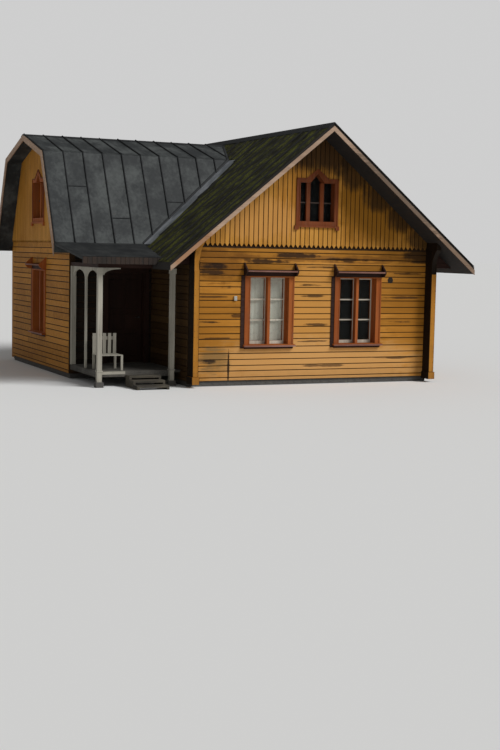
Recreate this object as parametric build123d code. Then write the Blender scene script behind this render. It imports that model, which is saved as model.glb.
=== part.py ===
from build123d import *
import os
from math import cos, radians, sin, tan

# A boarded log cabin: a gabled front room, a side room under a steep tin roof and a corner porch.
# X runs along the gabled front, Y into the house and Z up from the ground, all in millimetres.

# Plan
GABLE_WIDTH = 5880            # over the boards of the gabled front
HOUSE_DEPTH = 7150            # from the gabled front to the rear wall
WING_LENGTH = 2250            # how far the gabled front stands before the entrance wall
SIDE_WIDTH = 1910             # how far the side room reaches past the gabled part
WALL = 200                    # logs with their boards
GABLE_WALL = 120              # studs and boards above the log walls

# Levels
PLINTH_TOP = 110
FLOOR_TOP = 340
EAVE_TOP = 2612.5             # the gabled roof's lowest edge, which the levels below the roofs follow
SKIRT_RISE = 387.5            # from the eave to where the boarded gables stand on the log walls
PLINTH_SETBACK = 25
PLINTH_THICK = 270

# Gabled roof
GABLE_PITCH = 39.3
ROOF_THICK = 116
EAVE_REACH = 710              # past the side walls
GABLE_REACH = 734             # past the gabled front and the rear
BARGE_THICK = 22
BARGE_SET = 46                # from the roof's top to the bargeboard's
BARGE_DEEP = 82
RIDGE_CAP_LEG = 150
RIDGE_CAP_THICK = 20

# Steep tin roof of the side room
TIN_FOOT_RISE = 367.5         # from the eave to the foot of the steep slope
TIN_FOOT_REACH = 150          # past the entrance wall
TIN_PITCH = 64
TIN_RIDGE_DROP = 151.3        # below the gabled roof's ridge
TIN_TOP_PITCH = 16
TIN_THICK = 100
TIN_END_REACH = 400           # past the side room's end wall
VALLEY_WIDTH = 480            # of the flashing, along the gabled roof
VALLEY_THICK = 4
ROOM_BEAM_HIGH = 290          # under the gabled roof's edge, between the rooms

# Boxed eaves beside the gabled part
SOFFIT_DROP = 37.5            # below the eave
SOFFIT_THICK = 25
SOFFIT_GAP = 10               # over the hoods of the windows below it

# Corner boxes over the log ends
CORNER_WIDTH = 115
CORNER_REACH = 280
CORNER_FOOT = 70
CORNER_BASE_HIGH = 160
CORNER_BASE_LIP = 22
CORBEL_DROP = 172.5           # from the eave to where the corbel starts
CORBEL_REACH = 180            # further than the box below it
CORBEL_SHELF_DROP = 66        # from the roof's underside over the wall to the corbel's upper end

# Scalloped lower edge of the gable boards
BOARD_PITCH = 110
SKIRT_THICK = 22
SKIRT_HANG = 25               # how far the points hang past the wall's top
SKIRT_POINT = 75

# Casement windows
WINDOW_SHARE = 0.369          # of half the front, from its middle to a window's
WINDOW_WIDTH = 1170
WINDOW_BOTTOM = 885
WINDOW_DROP = 262.5           # from the eave to the casing's top
CASING = 130
HEAD_CASING = 30              # over the opening, right under the hood's board
CASING_THICK = 28
LINING = 30
SASH_DEPTH = 45
SASH_SET = 120                # from the wall's face to the sash
SASH_STILE = 65               # beside the lining
MEETING_STILE = 22            # beside the mullion
TOP_RAIL = 25
BOTTOM_RAIL = 70
MULLION = 68
MULLION_SET = 10              # from the wall's face
GLASS_THICK = 6
SILL_REACH = 110
SILL_THICK = 35
SILL_LIP = 30
APRON_DEEP = 55
HOOD_REACH = 190
HOOD_RISE = 105               # from the casing's top to the shelf's middle
HOOD_THICK = 35
EAR_RISE = 280                # from the casing's top to the ears' tops
EAR_THICK = 32
EAR_FOOT = 40

# Attic windows
ATTIC_WIDTH = 1020
ATTIC_RISE = 450              # above the log walls
ATTIC_HIGH = 1020
ATTIC_CASING = 95
ATTIC_MULLION = 92
ATTIC_MIDDLE = 240            # the middle light, wider than the two beside it
ATTIC_PEAK = 200              # the pointed head above the casing's top
ATTIC_SET = 60
SILL_DROP_WIDTH = 90          # the blocks under the ends of the attic sill
SILL_DROP_HIGH = 55
CURTAIN_THICK = 24
CURTAIN_GAP = 8               # to the sash, the mullion's line and the lining

# Entrance door
DOOR_SET = 610                # from the gabled part's wall to the door's middle
LEAF_WIDTH = 840
LEAF_DROP = 147               # from the porch beam's underside to the leaf's top
LEAF_THICK = 45
LEAF_FLOOR_GAP = 8
HINGE_GAP = 6
LOCK_GAP = 9
HEAD_GAP = 6
JAMB = 45
DOOR_CASING = 110
THRESHOLD_HIGH = 22
HINGE_RADIUS = 9
HINGE_OFFSET = 12
HINGE_HIGH = 70
HINGE_SEAT = 0.3
STRAP_THICK = 4
STRAP_LONG = 180
HANDLE_LEVEL = 1000
HANDLE_INSET = 60
ROSE_RADIUS = 24
ROSE_THICK = 8
LEVER_RADIUS = 8
LEVER_REACH = 40
LEVER_LONG = 110

# Porch
PORCH_LEFT = 20               # post's outer face inside the side room's end wall
PORCH_FRONT = 300
PORCH_FLOOR = 320
DECK_THICK = 45
POST = 100
HALF_POST_GAP = 190           # from the gabled part's wall to the half post
BEAM_DROP = 137.5             # from the eave to the beam's underside
BEAM_HIGH = 82
FASCIA_RISE = 87.5            # from the eave to the fascia's top
PORCH_EAVE_REACH = 260
FASCIA_THICK = 22
PORCH_ROOF_THICK = 60
CAPITAL_HIGH = 100
CAPITAL_LIP = 15
ARCADE_THICK = 40
ARCADE_HIGH = 280
ARCH_RISE = 190
ARCH_MARGIN = 60
ARCADE_POST = 70
BRACKET_LONG = 380
BRACKET_DROP = 150
BRACKET_THICK = 40
BRACKET_TIP = 25
RIM_HIGH = 70
RIM_THICK = 30
PIER = 160

# Steps before the porch
STEP_COUNT = 3
STEP_GOING = 250
STEP_SET = 540                # from the gabled part's wall to the steps
STEP_WIDTH = 700
TREAD_THICK = 40
STRINGER = 50

# Chair on the porch
CHAIR_WIDTH = 520
CHAIR_DEPTH = 480
CHAIR_SEAT = 330              # above the porch floor
CHAIR_BACK = 760
CHAIR_LEG = 45
CHAIR_SLAT = 70
CHAIR_SLAT_THICK = 18
CHAIR_SLAT_GAP = 35           # about, between the back's slats
CHAIR_LEFT_GAP = 30
CHAIR_SET = 270               # behind the porch's front

# Small pieces on the gabled front
VENT_REACH = 822              # from the right window's middle
VENT_DROP = 63                # from the window casing's top
VENT_RADIUS = 70
VENT_THICK = 15
BOX_REACH = 806               # from the left window's middle
BOX_DROP = 480                # from the window casing's top
BOX_WIDTH = 60
BOX_HIGH = 90
BOX_DEEP = 45

CUT_MARGIN = 2000             # how far cutting volumes reach past the ridge

# Worked out from the sizes above
HALF = GABLE_WIDTH / 2
END_X = -HALF - SIDE_WIDTH
MIDDLE_Y = (WING_LENGTH + HOUSE_DEPTH) / 2
SLOPE = tan(radians(GABLE_PITCH))
ROOF_DROP = ROOF_THICK / cos(radians(GABLE_PITCH))
EAVE_X = HALF + EAVE_REACH
RIDGE_TOP = EAVE_TOP + SLOPE * EAVE_X
ROOF_UNDER = RIDGE_TOP - ROOF_DROP
TIN_SLOPE = tan(radians(TIN_PITCH))
TIN_TOP_SLOPE = tan(radians(TIN_TOP_PITCH))
TIN_FOOT_Y = WING_LENGTH - TIN_FOOT_REACH
TIN_FOOT_LEVEL = EAVE_TOP + TIN_FOOT_RISE
TIN_RIDGE = RIDGE_TOP - TIN_RIDGE_DROP
TIN_BREAK_Y = ((TIN_RIDGE - TIN_FOOT_LEVEL + TIN_SLOPE * TIN_FOOT_Y - TIN_TOP_SLOPE * MIDDLE_Y)
               / (TIN_SLOPE - TIN_TOP_SLOPE))
TIN_BREAK_LEVEL = TIN_FOOT_LEVEL + (TIN_BREAK_Y - TIN_FOOT_Y) * TIN_SLOPE
ENTRANCE_BACK = WING_LENGTH + WALL
TALL = RIDGE_TOP + CUT_MARGIN
SKIRT_LEVEL = EAVE_TOP + SKIRT_RISE
SKIRT_TIP = SKIRT_LEVEL - SKIRT_HANG
SOFFIT_LEVEL = EAVE_TOP - SOFFIT_DROP
CORBEL_START = EAVE_TOP - CORBEL_DROP
WINDOW_OFFSET = HALF * WINDOW_SHARE
WINDOW_TOP = EAVE_TOP - WINDOW_DROP
HOOD_LEVEL = WINDOW_TOP + HOOD_RISE
HOOD_TOP = WINDOW_TOP + EAR_RISE
ATTIC_BOTTOM = SKIRT_LEVEL + ATTIC_RISE
ATTIC_TOP = ATTIC_BOTTOM + ATTIC_HIGH
BEAM_BOTTOM = EAVE_TOP - BEAM_DROP
FASCIA_TOP = EAVE_TOP + FASCIA_RISE
DOOR_CENTRE = -HALF - DOOR_SET
LEAF_HEIGHT = BEAM_BOTTOM - LEAF_DROP - FLOOR_TOP - LEAF_FLOOR_GAP
STEP_LEFT = -HALF - STEP_SET - STEP_WIDTH
VENT_X = WINDOW_OFFSET + VENT_REACH
VENT_LEVEL = WINDOW_TOP - VENT_DROP
BOX_X = -WINDOW_OFFSET - BOX_REACH
BOX_LEVEL = WINDOW_TOP - BOX_DROP


def block(x0, x1, y0, y1, z0, z1):
    """A plain block between six planes."""
    return Pos((x0 + x1) / 2, (y0 + y1) / 2, (z0 + z1) / 2) * Box(x1 - x0, y1 - y0, z1 - z0)


def outline(*points):
    """A face inside straight edges through the points of a sketch plane."""
    return make_face(Polyline(*points, close=True))


def along_y(face, y0, y1):
    """A face drawn in X and Z, run from one Y to another."""
    return extrude(Plane.XZ.offset(-y0) * face, y1 - y0, dir=(0, 1, 0))


def along_x(face, x0, x1):
    """A face drawn in Y and Z, run from one X to another."""
    return extrude(Plane.YZ.offset(x0) * face, x1 - x0, dir=(1, 0, 0))


def gable_level(x, base=RIDGE_TOP):
    """Height of the gabled roof at a distance from its ridge, from its height at the ridge."""
    return base - SLOPE * abs(x)


def gable_outline(base, reach, foot=0):
    """Everything below the gabled roof, as a face in X and Z."""
    edge = gable_level(reach, base)
    return outline((-reach, foot), (reach, foot), (reach, edge), (0, base), (-reach, edge))


def tin_outline(sunk, foot=0):
    """Everything below the tin roof, or below a line sunk square to it, as a face in Y and Z."""
    steep = sunk / cos(radians(TIN_PITCH))
    flat = sunk / cos(radians(TIN_TOP_PITCH))
    foot_y = TIN_FOOT_Y
    foot_z = TIN_FOOT_LEVEL - steep
    ridge = TIN_RIDGE - flat
    break_y = (ridge - foot_z + TIN_SLOPE * foot_y - TIN_TOP_SLOPE * MIDDLE_Y) / (TIN_SLOPE - TIN_TOP_SLOPE)
    break_z = ridge - TIN_TOP_SLOPE * (MIDDLE_Y - break_y)
    back = 2 * MIDDLE_Y
    return outline((foot_y, foot), (back - foot_y, foot), (back - foot_y, foot_z),
                   (back - break_y, break_z), (MIDDLE_Y, ridge), (break_y, break_z), (foot_y, foot_z))


def plan(inset):
    """The house's plan inside its outer wall faces, by a distance, as a face in X and Y."""
    left, right = END_X + inset, HALF - inset
    front_left, back, step_back = -HALF + inset, HOUSE_DEPTH - inset, WING_LENGTH + inset
    return outline((front_left, inset), (right, inset), (right, back), (left, back),
                   (left, step_back), (front_left, step_back))


def window_hole(middle):
    """What a casement window takes out of a wall, drawn at the gabled front."""
    side = WINDOW_WIDTH / 2 - CASING + LINING
    head = WINDOW_TOP - HEAD_CASING + LINING
    return block(middle - side, middle + side, 0, WALL, WINDOW_BOTTOM - LINING, head)


def window_frame(middle):
    """Casing, lining, mullion and sash rails of a casement window in the gabled front, in one piece."""
    outer, inner = WINDOW_WIDTH / 2, WINDOW_WIDTH / 2 - CASING
    head = WINDOW_TOP - HEAD_CASING
    casing = block(-outer, outer, -CASING_THICK, 0, WINDOW_BOTTOM - SILL_THICK, WINDOW_TOP)
    lining = block(-inner - LINING, inner + LINING, 0, WALL, WINDOW_BOTTOM - LINING, head + LINING)
    frame = casing + lining - block(-inner, inner, -CASING_THICK, WALL, WINDOW_BOTTOM, head)
    sash = block(-inner, inner, SASH_SET, SASH_SET + SASH_DEPTH, WINDOW_BOTTOM, head)
    for side in (-1, 1):
        x0, x1 = sorted((side * (MULLION / 2 + MEETING_STILE), side * (inner - SASH_STILE)))
        sash -= block(x0, x1, SASH_SET, SASH_SET + SASH_DEPTH, WINDOW_BOTTOM + BOTTOM_RAIL, head - TOP_RAIL)
    mullion = block(-MULLION / 2, MULLION / 2, MULLION_SET, SASH_SET, WINDOW_BOTTOM, head)
    sill = along_x(outline((0, WINDOW_BOTTOM), (-SILL_REACH, WINDOW_BOTTOM - SILL_THICK / 2),
                           (-SILL_REACH, WINDOW_BOTTOM - 3 * SILL_THICK / 2), (0, WINDOW_BOTTOM - SILL_THICK)),
                   -outer - SILL_LIP, outer + SILL_LIP)
    apron = block(-outer, outer, -CASING_THICK, 0, WINDOW_BOTTOM - SILL_THICK - APRON_DEEP,
                  WINDOW_BOTTOM - SILL_THICK)
    return Pos(middle, 0, 0) * (frame + sash + mullion + sill + apron)


def window_glass(middle):
    """The two sheets of glass in a casement window, between the sash rails."""
    inner = WINDOW_WIDTH / 2 - CASING - SASH_STILE
    low, high = WINDOW_BOTTOM + BOTTOM_RAIL, WINDOW_TOP - HEAD_CASING - TOP_RAIL
    back = SASH_SET + SASH_DEPTH / 2 + GLASS_THICK / 2
    near = MULLION / 2 + MEETING_STILE
    return [Pos(middle, 0, 0) * block(x0, x1, back - GLASS_THICK, back, low, high)
            for x0, x1 in ((-inner, -near), (near, inner))]


def window_hood(middle, top=HOOD_TOP):
    """The shelf over a window, its head board and the two cut ears that hold it."""
    outer = WINDOW_WIDTH / 2
    shelf_top, shelf_under = HOOD_LEVEL + HOOD_THICK / 2, HOOD_LEVEL - HOOD_THICK / 2
    ear_foot = WINDOW_TOP
    with BuildLine() as edge:
        Polyline((-EAR_FOOT, ear_foot), (0, ear_foot), (0, top), (-CASING_THICK, top),
                 (-HOOD_REACH, shelf_top), (-HOOD_REACH, shelf_under))
        RadiusArc((-HOOD_REACH, shelf_under), (-EAR_FOOT, ear_foot), -HOOD_REACH)
    ear = make_face(edge.line)
    shelf = block(-outer, outer, -HOOD_REACH, 0, shelf_under, shelf_top)
    board = block(-outer, outer, -CASING_THICK, 0, WINDOW_TOP, shelf_under)
    hood = shelf + board
    for x0 in (-outer - EAR_THICK, outer):
        hood += along_x(ear, x0, x0 + EAR_THICK)
    return Pos(middle, 0, 0) * hood


def attic_outline(grow):
    """The attic window's pointed outline, wider than its lights by a distance."""
    half = ATTIC_WIDTH / 2 - ATTIC_CASING + grow
    low = ATTIC_BOTTOM + ATTIC_CASING - grow
    high = ATTIC_TOP - ATTIC_CASING + grow
    point = ATTIC_MIDDLE / 2 + ATTIC_MULLION / 2 + grow
    return outline((-half, low), (half, low), (half, high), (point, high), (0, high + ATTIC_PEAK),
                   (-point, high), (-half, high))


def attic_frame():
    """Pointed casing, mullions and sill of an attic window in the gabled front, in one piece."""
    low = ATTIC_BOTTOM + ATTIC_CASING
    casing = along_y(attic_outline(ATTIC_CASING), -SKIRT_THICK - CASING_THICK, -SKIRT_THICK)
    lining = along_y(attic_outline(LINING), -SKIRT_THICK, GABLE_WALL)
    frame = casing + lining - along_y(attic_outline(0), -SKIRT_THICK - CASING_THICK, GABLE_WALL)
    for side in (-1, 1):
        centre = side * (ATTIC_MIDDLE + ATTIC_MULLION) / 2
        frame += block(centre - ATTIC_MULLION / 2, centre + ATTIC_MULLION / 2, ATTIC_SET, GABLE_WALL,
                       low, ATTIC_TOP - ATTIC_CASING)
    sill_end, sill_front = ATTIC_WIDTH / 2 + SILL_LIP, -SKIRT_THICK - SILL_REACH / 2
    sill_under = ATTIC_BOTTOM - SILL_THICK
    sill = block(-sill_end, sill_end, sill_front, -SKIRT_THICK, sill_under, ATTIC_BOTTOM)
    for side in (-1, 1):
        x0, x1 = sorted((side * sill_end, side * (sill_end - SILL_DROP_WIDTH)))
        sill += block(x0, x1, sill_front, -SKIRT_THICK, sill_under - SILL_DROP_HIGH, sill_under)
    return frame + sill


def attic_glass():
    """One sheet of glass that closes the three lights of an attic window, behind its mullions."""
    return along_y(attic_outline(0), GABLE_WALL, GABLE_WALL + GLASS_THICK)


def to_back(shape):
    """A piece of the gabled front, moved to the rear of the gabled part."""
    return Pos(0, HOUSE_DEPTH, 0) * Rot(0, 0, 180) * shape


def to_right(shape):
    """A piece of the gabled front, moved to the right side wall's middle."""
    return Pos(HALF, HOUSE_DEPTH / 2, 0) * Rot(0, 0, 90) * shape


def to_left(shape):
    """A piece of the gabled front, moved to the middle of the side room's end wall."""
    return Pos(END_X, MIDDLE_Y, 0) * Rot(0, 0, -90) * shape


def board_skirt(width):
    """Boards over a gable, whose lower ends hang past the wall's top as a row of points."""
    count = round(width / BOARD_PITCH)
    step = width / count
    notch = SKIRT_TIP + SKIRT_POINT
    points = [(-width / 2, notch)]
    for index in range(count):
        start = -width / 2 + index * step
        points += [(start + step / 2, SKIRT_TIP), (start + step, notch)]
    points += [(width / 2, TALL), (-width / 2, TALL)]
    return along_y(outline(*points), -SKIRT_THICK, 0)


# Volumes below the two roofs, which cut walls, boards and roof slabs to their slopes
below_gable = along_y(gable_outline(ROOF_UNDER, EAVE_X), -HOUSE_DEPTH, 2 * HOUSE_DEPTH)
above_gable_sheet = along_y(gable_outline(RIDGE_TOP, EAVE_X), -HOUSE_DEPTH, 2 * HOUSE_DEPTH)
below_tin = along_x(tin_outline(TIN_THICK), END_X - TIN_END_REACH, 0)

nodes = {}

# Plinth and floors
plinth = extrude(plan(PLINTH_SETBACK) - plan(PLINTH_SETBACK + PLINTH_THICK), PLINTH_TOP)

nodes["floor_front_room"] = block(-HALF + WALL, HALF - WALL, WALL, ENTRANCE_BACK, PLINTH_TOP, FLOOR_TOP)
nodes["floor_back_room"] = block(END_X + WALL, HALF - WALL, ENTRANCE_BACK, HOUSE_DEPTH - WALL,
                                 PLINTH_TOP, FLOOR_TOP)

# Log walls
SIDE_WINDOWS = (-HOUSE_DEPTH / 4, HOUSE_DEPTH / 4)
END_WINDOWS = (0,)
FRONT_WINDOWS = (-WINDOW_OFFSET, WINDOW_OFFSET)

front_wall = block(-HALF, HALF, 0, WALL, PLINTH_TOP, SKIRT_LEVEL)
nodes["front_wall"] = front_wall - [window_hole(middle) for middle in FRONT_WINDOWS]
right_wall = block(HALF - WALL, HALF, WALL, HOUSE_DEPTH - WALL, PLINTH_TOP, TALL) & below_gable
nodes["right_wall"] = right_wall - [to_right(window_hole(middle)) for middle in SIDE_WINDOWS]
nodes["wing_left_wall"] = block(-HALF, -HALF + WALL, WALL, WING_LENGTH, PLINTH_TOP, TALL) & below_gable
back_wall = block(-HALF, HALF, HOUSE_DEPTH - WALL, HOUSE_DEPTH, PLINTH_TOP, SKIRT_LEVEL)
back_wall += block(END_X, -HALF, HOUSE_DEPTH - WALL, HOUSE_DEPTH, PLINTH_TOP, SKIRT_LEVEL)
back_wall += block(END_X + GABLE_WALL, -HALF, HOUSE_DEPTH - WALL, HOUSE_DEPTH, SKIRT_LEVEL, TALL) & below_tin
nodes["back_wall"] = back_wall - [to_back(window_hole(middle)) for middle in FRONT_WINDOWS]
end_wall = block(END_X, END_X + WALL, WING_LENGTH, HOUSE_DEPTH - WALL, PLINTH_TOP, SKIRT_LEVEL)
nodes["end_wall"] = end_wall - [to_left(window_hole(middle)) for middle in END_WINDOWS]
room_beam = block(-HALF, -HALF + WALL, ENTRANCE_BACK, HOUSE_DEPTH - WALL,
                  gable_level(HALF, ROOF_UNDER) - ROOM_BEAM_HIGH, TALL)
nodes["room_beam"] = room_beam & below_gable

# Gables above the log walls, boarded down over their tops
attic_hole = along_y(attic_outline(LINING), -SKIRT_THICK, GABLE_WALL)
gable = block(-HALF, HALF, 0, GABLE_WALL, SKIRT_LEVEL, TALL) + board_skirt(GABLE_WIDTH - 2 * CORNER_WIDTH)
gable = (gable & below_gable) - attic_hole
nodes["front_gable"] = gable
nodes["back_gable"] = to_back(gable)
end_width = HOUSE_DEPTH - WING_LENGTH
end_gable = block(-end_width / 2, end_width / 2, 0, GABLE_WALL, SKIRT_LEVEL, TALL) + board_skirt(end_width)
nodes["end_gable"] = to_left(end_gable - attic_hole) & below_tin

# Wall round the entrance, split beside and over the doorway
hinge_x = DOOR_CENTRE - LEAF_WIDTH / 2
door_left = hinge_x - HINGE_GAP - JAMB
door_right = DOOR_CENTRE + LEAF_WIDTH / 2 + LOCK_GAP + JAMB
leaf_bottom = FLOOR_TOP + LEAF_FLOOR_GAP
door_head = leaf_bottom + LEAF_HEIGHT + HEAD_GAP
entrance_wall = block(END_X + WALL, -HALF, WING_LENGTH, ENTRANCE_BACK, PLINTH_TOP, TALL)
entrance_wall += block(-HALF, -HALF + WALL, WING_LENGTH, ENTRANCE_BACK, PLINTH_TOP, TALL) & below_gable
entrance_wall &= below_tin
nodes["entrance_wall_left"] = entrance_wall & block(END_X, door_left, 0, ENTRANCE_BACK, 0, TALL)
nodes["entrance_wall_right"] = entrance_wall & block(door_right, 0, 0, ENTRANCE_BACK, 0, TALL)
over_door = block(door_left, door_right, 0, ENTRANCE_BACK, door_head + JAMB, TALL)
nodes["entrance_wall_over"] = entrance_wall & over_door
nodes["entrance_sill"] = block(door_left, door_right, WING_LENGTH, ENTRANCE_BACK, PLINTH_TOP, FLOOR_TOP)

# Windows
side_hood_top = min(HOOD_TOP, SOFFIT_LEVEL - SOFFIT_GAP)
nodes["window_front_left"] = window_frame(-WINDOW_OFFSET)
nodes["window_front_right"] = window_frame(WINDOW_OFFSET)
nodes["window_hoods_front"] = [window_hood(middle) for middle in FRONT_WINDOWS]
nodes["attic_window_front"] = attic_frame()
nodes["windows_right"] = [to_right(window_frame(middle) + window_hood(middle, side_hood_top))
                          for middle in SIDE_WINDOWS]
back_windows = [window_frame(middle) + window_hood(middle) for middle in FRONT_WINDOWS] + [attic_frame()]
nodes["windows_back"] = [to_back(window) for window in back_windows]
end_windows = [window_frame(middle) + window_hood(middle) for middle in END_WINDOWS] + [attic_frame()]
nodes["windows_end"] = [to_left(window) for window in end_windows]
gable_panes = [pane for middle in FRONT_WINDOWS for pane in window_glass(middle)] + [attic_glass()]
end_panes = [pane for middle in END_WINDOWS for pane in window_glass(middle)] + [attic_glass()]
nodes["window_glass"] = gable_panes + [to_back(pane) for pane in gable_panes]
nodes["window_glass"] += [to_right(pane) for middle in SIDE_WINDOWS for pane in window_glass(middle)]
nodes["window_glass"] += [to_left(pane) for pane in end_panes]

# A pair of curtains inside the front's left window, hung from the lining
curtain_y = SASH_SET + SASH_DEPTH + CURTAIN_GAP
curtain_out = WINDOW_WIDTH / 2 - CASING - CURTAIN_GAP
nodes["window_curtains"] = [
    Pos(-WINDOW_OFFSET, 0, 0) * block(x0, x1, curtain_y, curtain_y + CURTAIN_THICK,
                                      WINDOW_BOTTOM + CURTAIN_GAP, WINDOW_TOP - HEAD_CASING)
    for x0, x1 in ((-curtain_out, -CURTAIN_GAP / 2), (CURTAIN_GAP / 2, curtain_out))]

# Roof slabs
gable_shell = along_y(gable_outline(RIDGE_TOP, EAVE_X), -GABLE_REACH, HOUSE_DEPTH + GABLE_REACH) - below_gable
nodes["gabled_roof_right"] = gable_shell & block(0, EAVE_X, -HOUSE_DEPTH, 2 * HOUSE_DEPTH, 0, TALL)
left_slab = gable_shell & block(-EAVE_X, 0, -HOUSE_DEPTH, 2 * HOUSE_DEPTH, 0, TALL)
left_slab -= block(-EAVE_X, -HALF, WING_LENGTH, HOUSE_DEPTH, 0, TALL)
over_beam_x = (ROOF_UNDER - BEAM_BOTTOM - BEAM_HIGH) / SLOPE
nodes["gabled_roof_left"] = left_slab - block(-EAVE_X, -over_beam_x, PORCH_FRONT, WING_LENGTH, 0, TALL)

tin_end = END_X - TIN_END_REACH
tin_shell = along_x(tin_outline(0) - tin_outline(TIN_THICK), tin_end, 0) - above_gable_sheet
tin_low = block(tin_end, 0, 0, 2 * HOUSE_DEPTH, 0, TIN_BREAK_LEVEL)
nodes["tin_roof_front"] = tin_shell & block(tin_end, 0, 0, MIDDLE_Y, 0, TIN_BREAK_LEVEL)
nodes["tin_roof_back"] = tin_shell & block(tin_end, 0, MIDDLE_Y, 2 * HOUSE_DEPTH, 0, TIN_BREAK_LEVEL)
nodes["tin_roof_top"] = tin_shell - tin_low

# Valley flashings on the gabled roof beside the steep tin slopes
flashing_sheet = along_y(gable_outline(RIDGE_TOP + VALLEY_THICK / cos(radians(GABLE_PITCH)), EAVE_X), 0,
                         HOUSE_DEPTH) - above_gable_sheet
strip = outline((TIN_FOOT_Y - VALLEY_WIDTH, TIN_FOOT_LEVEL), (TIN_FOOT_Y, TIN_FOOT_LEVEL),
                (TIN_BREAK_Y, TIN_BREAK_LEVEL), (TIN_BREAK_Y - VALLEY_WIDTH, TIN_BREAK_LEVEL))
valley_front = along_x(strip, -EAVE_X, 0) & flashing_sheet
valley_back = mirror(valley_front, Plane.XZ.offset(-MIDDLE_Y))
on_roof = block(-EAVE_X, 0, MIDDLE_Y, HOUSE_DEPTH + GABLE_REACH, 0, TALL)
nodes["valley_flashings"] = [valley_front, valley_back & on_roof]


def cap_outline(middle, top, slope):
    """A bent ridge cap over two roof slopes, as a face across the ridge."""
    edge = top - RIDGE_CAP_LEG * slope
    lift = RIDGE_CAP_THICK
    return outline((middle, top), (middle - RIDGE_CAP_LEG, edge), (middle - RIDGE_CAP_LEG, edge + lift),
                   (middle, top + lift), (middle + RIDGE_CAP_LEG, edge + lift), (middle + RIDGE_CAP_LEG, edge))


# Ridge caps
barge_front = -GABLE_REACH - BARGE_THICK
barge_back = HOUSE_DEPTH + GABLE_REACH + BARGE_THICK
tin_cap = along_x(cap_outline(MIDDLE_Y, TIN_RIDGE, TIN_TOP_SLOPE), tin_end - BARGE_THICK, -RIDGE_CAP_LEG)
nodes["ridge_caps"] = [along_y(cap_outline(0, RIDGE_TOP, SLOPE), barge_front, barge_back),
                       tin_cap - above_gable_sheet]

# Bargeboards
barge_top = RIDGE_TOP - BARGE_SET / cos(radians(GABLE_PITCH))
barge_under = barge_top - BARGE_DEEP / cos(radians(GABLE_PITCH))
barge_face = gable_outline(barge_top, EAVE_X) - gable_outline(barge_under, EAVE_X, -TALL)
nodes["bargeboards_front"] = along_y(barge_face, barge_front, -GABLE_REACH)
nodes["bargeboards_back"] = along_y(barge_face, HOUSE_DEPTH + GABLE_REACH, barge_back)
tin_barge_face = tin_outline(0) - tin_outline(BARGE_SET + BARGE_DEEP, -TALL)
nodes["bargeboards_end"] = along_x(tin_barge_face, tin_end - BARGE_THICK, tin_end)

# Boxed eaves: a level soffit and a board at each end
soffit_x = (ROOF_UNDER - SOFFIT_LEVEL) / SLOPE


def boxed_eave(y0, y1):
    """The boxed eave beside the right wall, from one Y to another."""
    wall_top = gable_level(HALF, ROOF_UNDER)
    space = along_y(outline((HALF, SOFFIT_LEVEL), (soffit_x, SOFFIT_LEVEL), (HALF, wall_top)), y0, y1)
    inside = block(HALF, EAVE_X, y0 + SOFFIT_THICK, y1 - SOFFIT_THICK, SOFFIT_LEVEL + SOFFIT_THICK, TALL)
    return space - inside


nodes["boxed_eaves"] = [boxed_eave(0, HOUSE_DEPTH), mirror(boxed_eave(0, WING_LENGTH), Plane.YZ)]


def corner_box(side):
    """Boards round the log ends at a front corner, with a wider foot and a corbel under the roof."""
    outer, inner = side * HALF, side * (HALF - CORNER_WIDTH)
    x0, x1 = sorted((outer, inner))
    tip = -CORNER_REACH - CORBEL_REACH
    top = gable_level(HALF - CORNER_WIDTH, ROOF_UNDER)
    shelf = gable_level(HALF, ROOF_UNDER) - CORBEL_SHELF_DROP
    with BuildLine() as edge:
        Polyline((0, CORNER_FOOT), (-CORNER_REACH, CORNER_FOOT), (-CORNER_REACH, CORBEL_START))
        ThreePointArc((-CORNER_REACH, CORBEL_START),
                      (-CORNER_REACH - CORBEL_REACH * (1 - cos(radians(45))),
                       CORBEL_START + (shelf - CORBEL_START) * sin(radians(45))), (tip, shelf))
        Polyline((tip, shelf), (tip, top), (0, top), (0, CORNER_FOOT))
    box = along_x(make_face(edge.line), x0, x1) & below_gable
    base = block(x0 - CORNER_BASE_LIP, x1 + CORNER_BASE_LIP, -CORNER_REACH - CORNER_BASE_LIP, 0,
                 CORNER_FOOT, CORNER_FOOT + CORNER_BASE_HIGH)
    return box + base


nodes["corner_box_front_left"] = corner_box(-1)
nodes["corner_box_front_right"] = corner_box(1)
back_left = block(END_X, END_X + CORNER_WIDTH, HOUSE_DEPTH, HOUSE_DEPTH + TIN_FOOT_REACH, CORNER_FOOT, TALL)
nodes["corner_boxes_back"] = [to_back(corner_box(-1)), back_left & below_tin]

# Porch floor, posts, beam, side arches and roof
post_x = END_X + PORCH_LEFT
half_x = -HALF - HALF_POST_GAP
post_back = PORCH_FRONT + POST
arcade_x = post_x + (POST - ARCADE_THICK) / 2


def porch_post(x0, y0):
    """A square porch post on its stone, with a wider capital under the beam."""
    lip = CAPITAL_LIP
    post = block(x0, x0 + POST, y0, y0 + POST, PLINTH_TOP, BEAM_BOTTOM)
    return post + block(x0 - lip, x0 + POST + lip, y0 - lip, y0 + POST, BEAM_BOTTOM - CAPITAL_HIGH, BEAM_BOTTOM)


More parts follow.
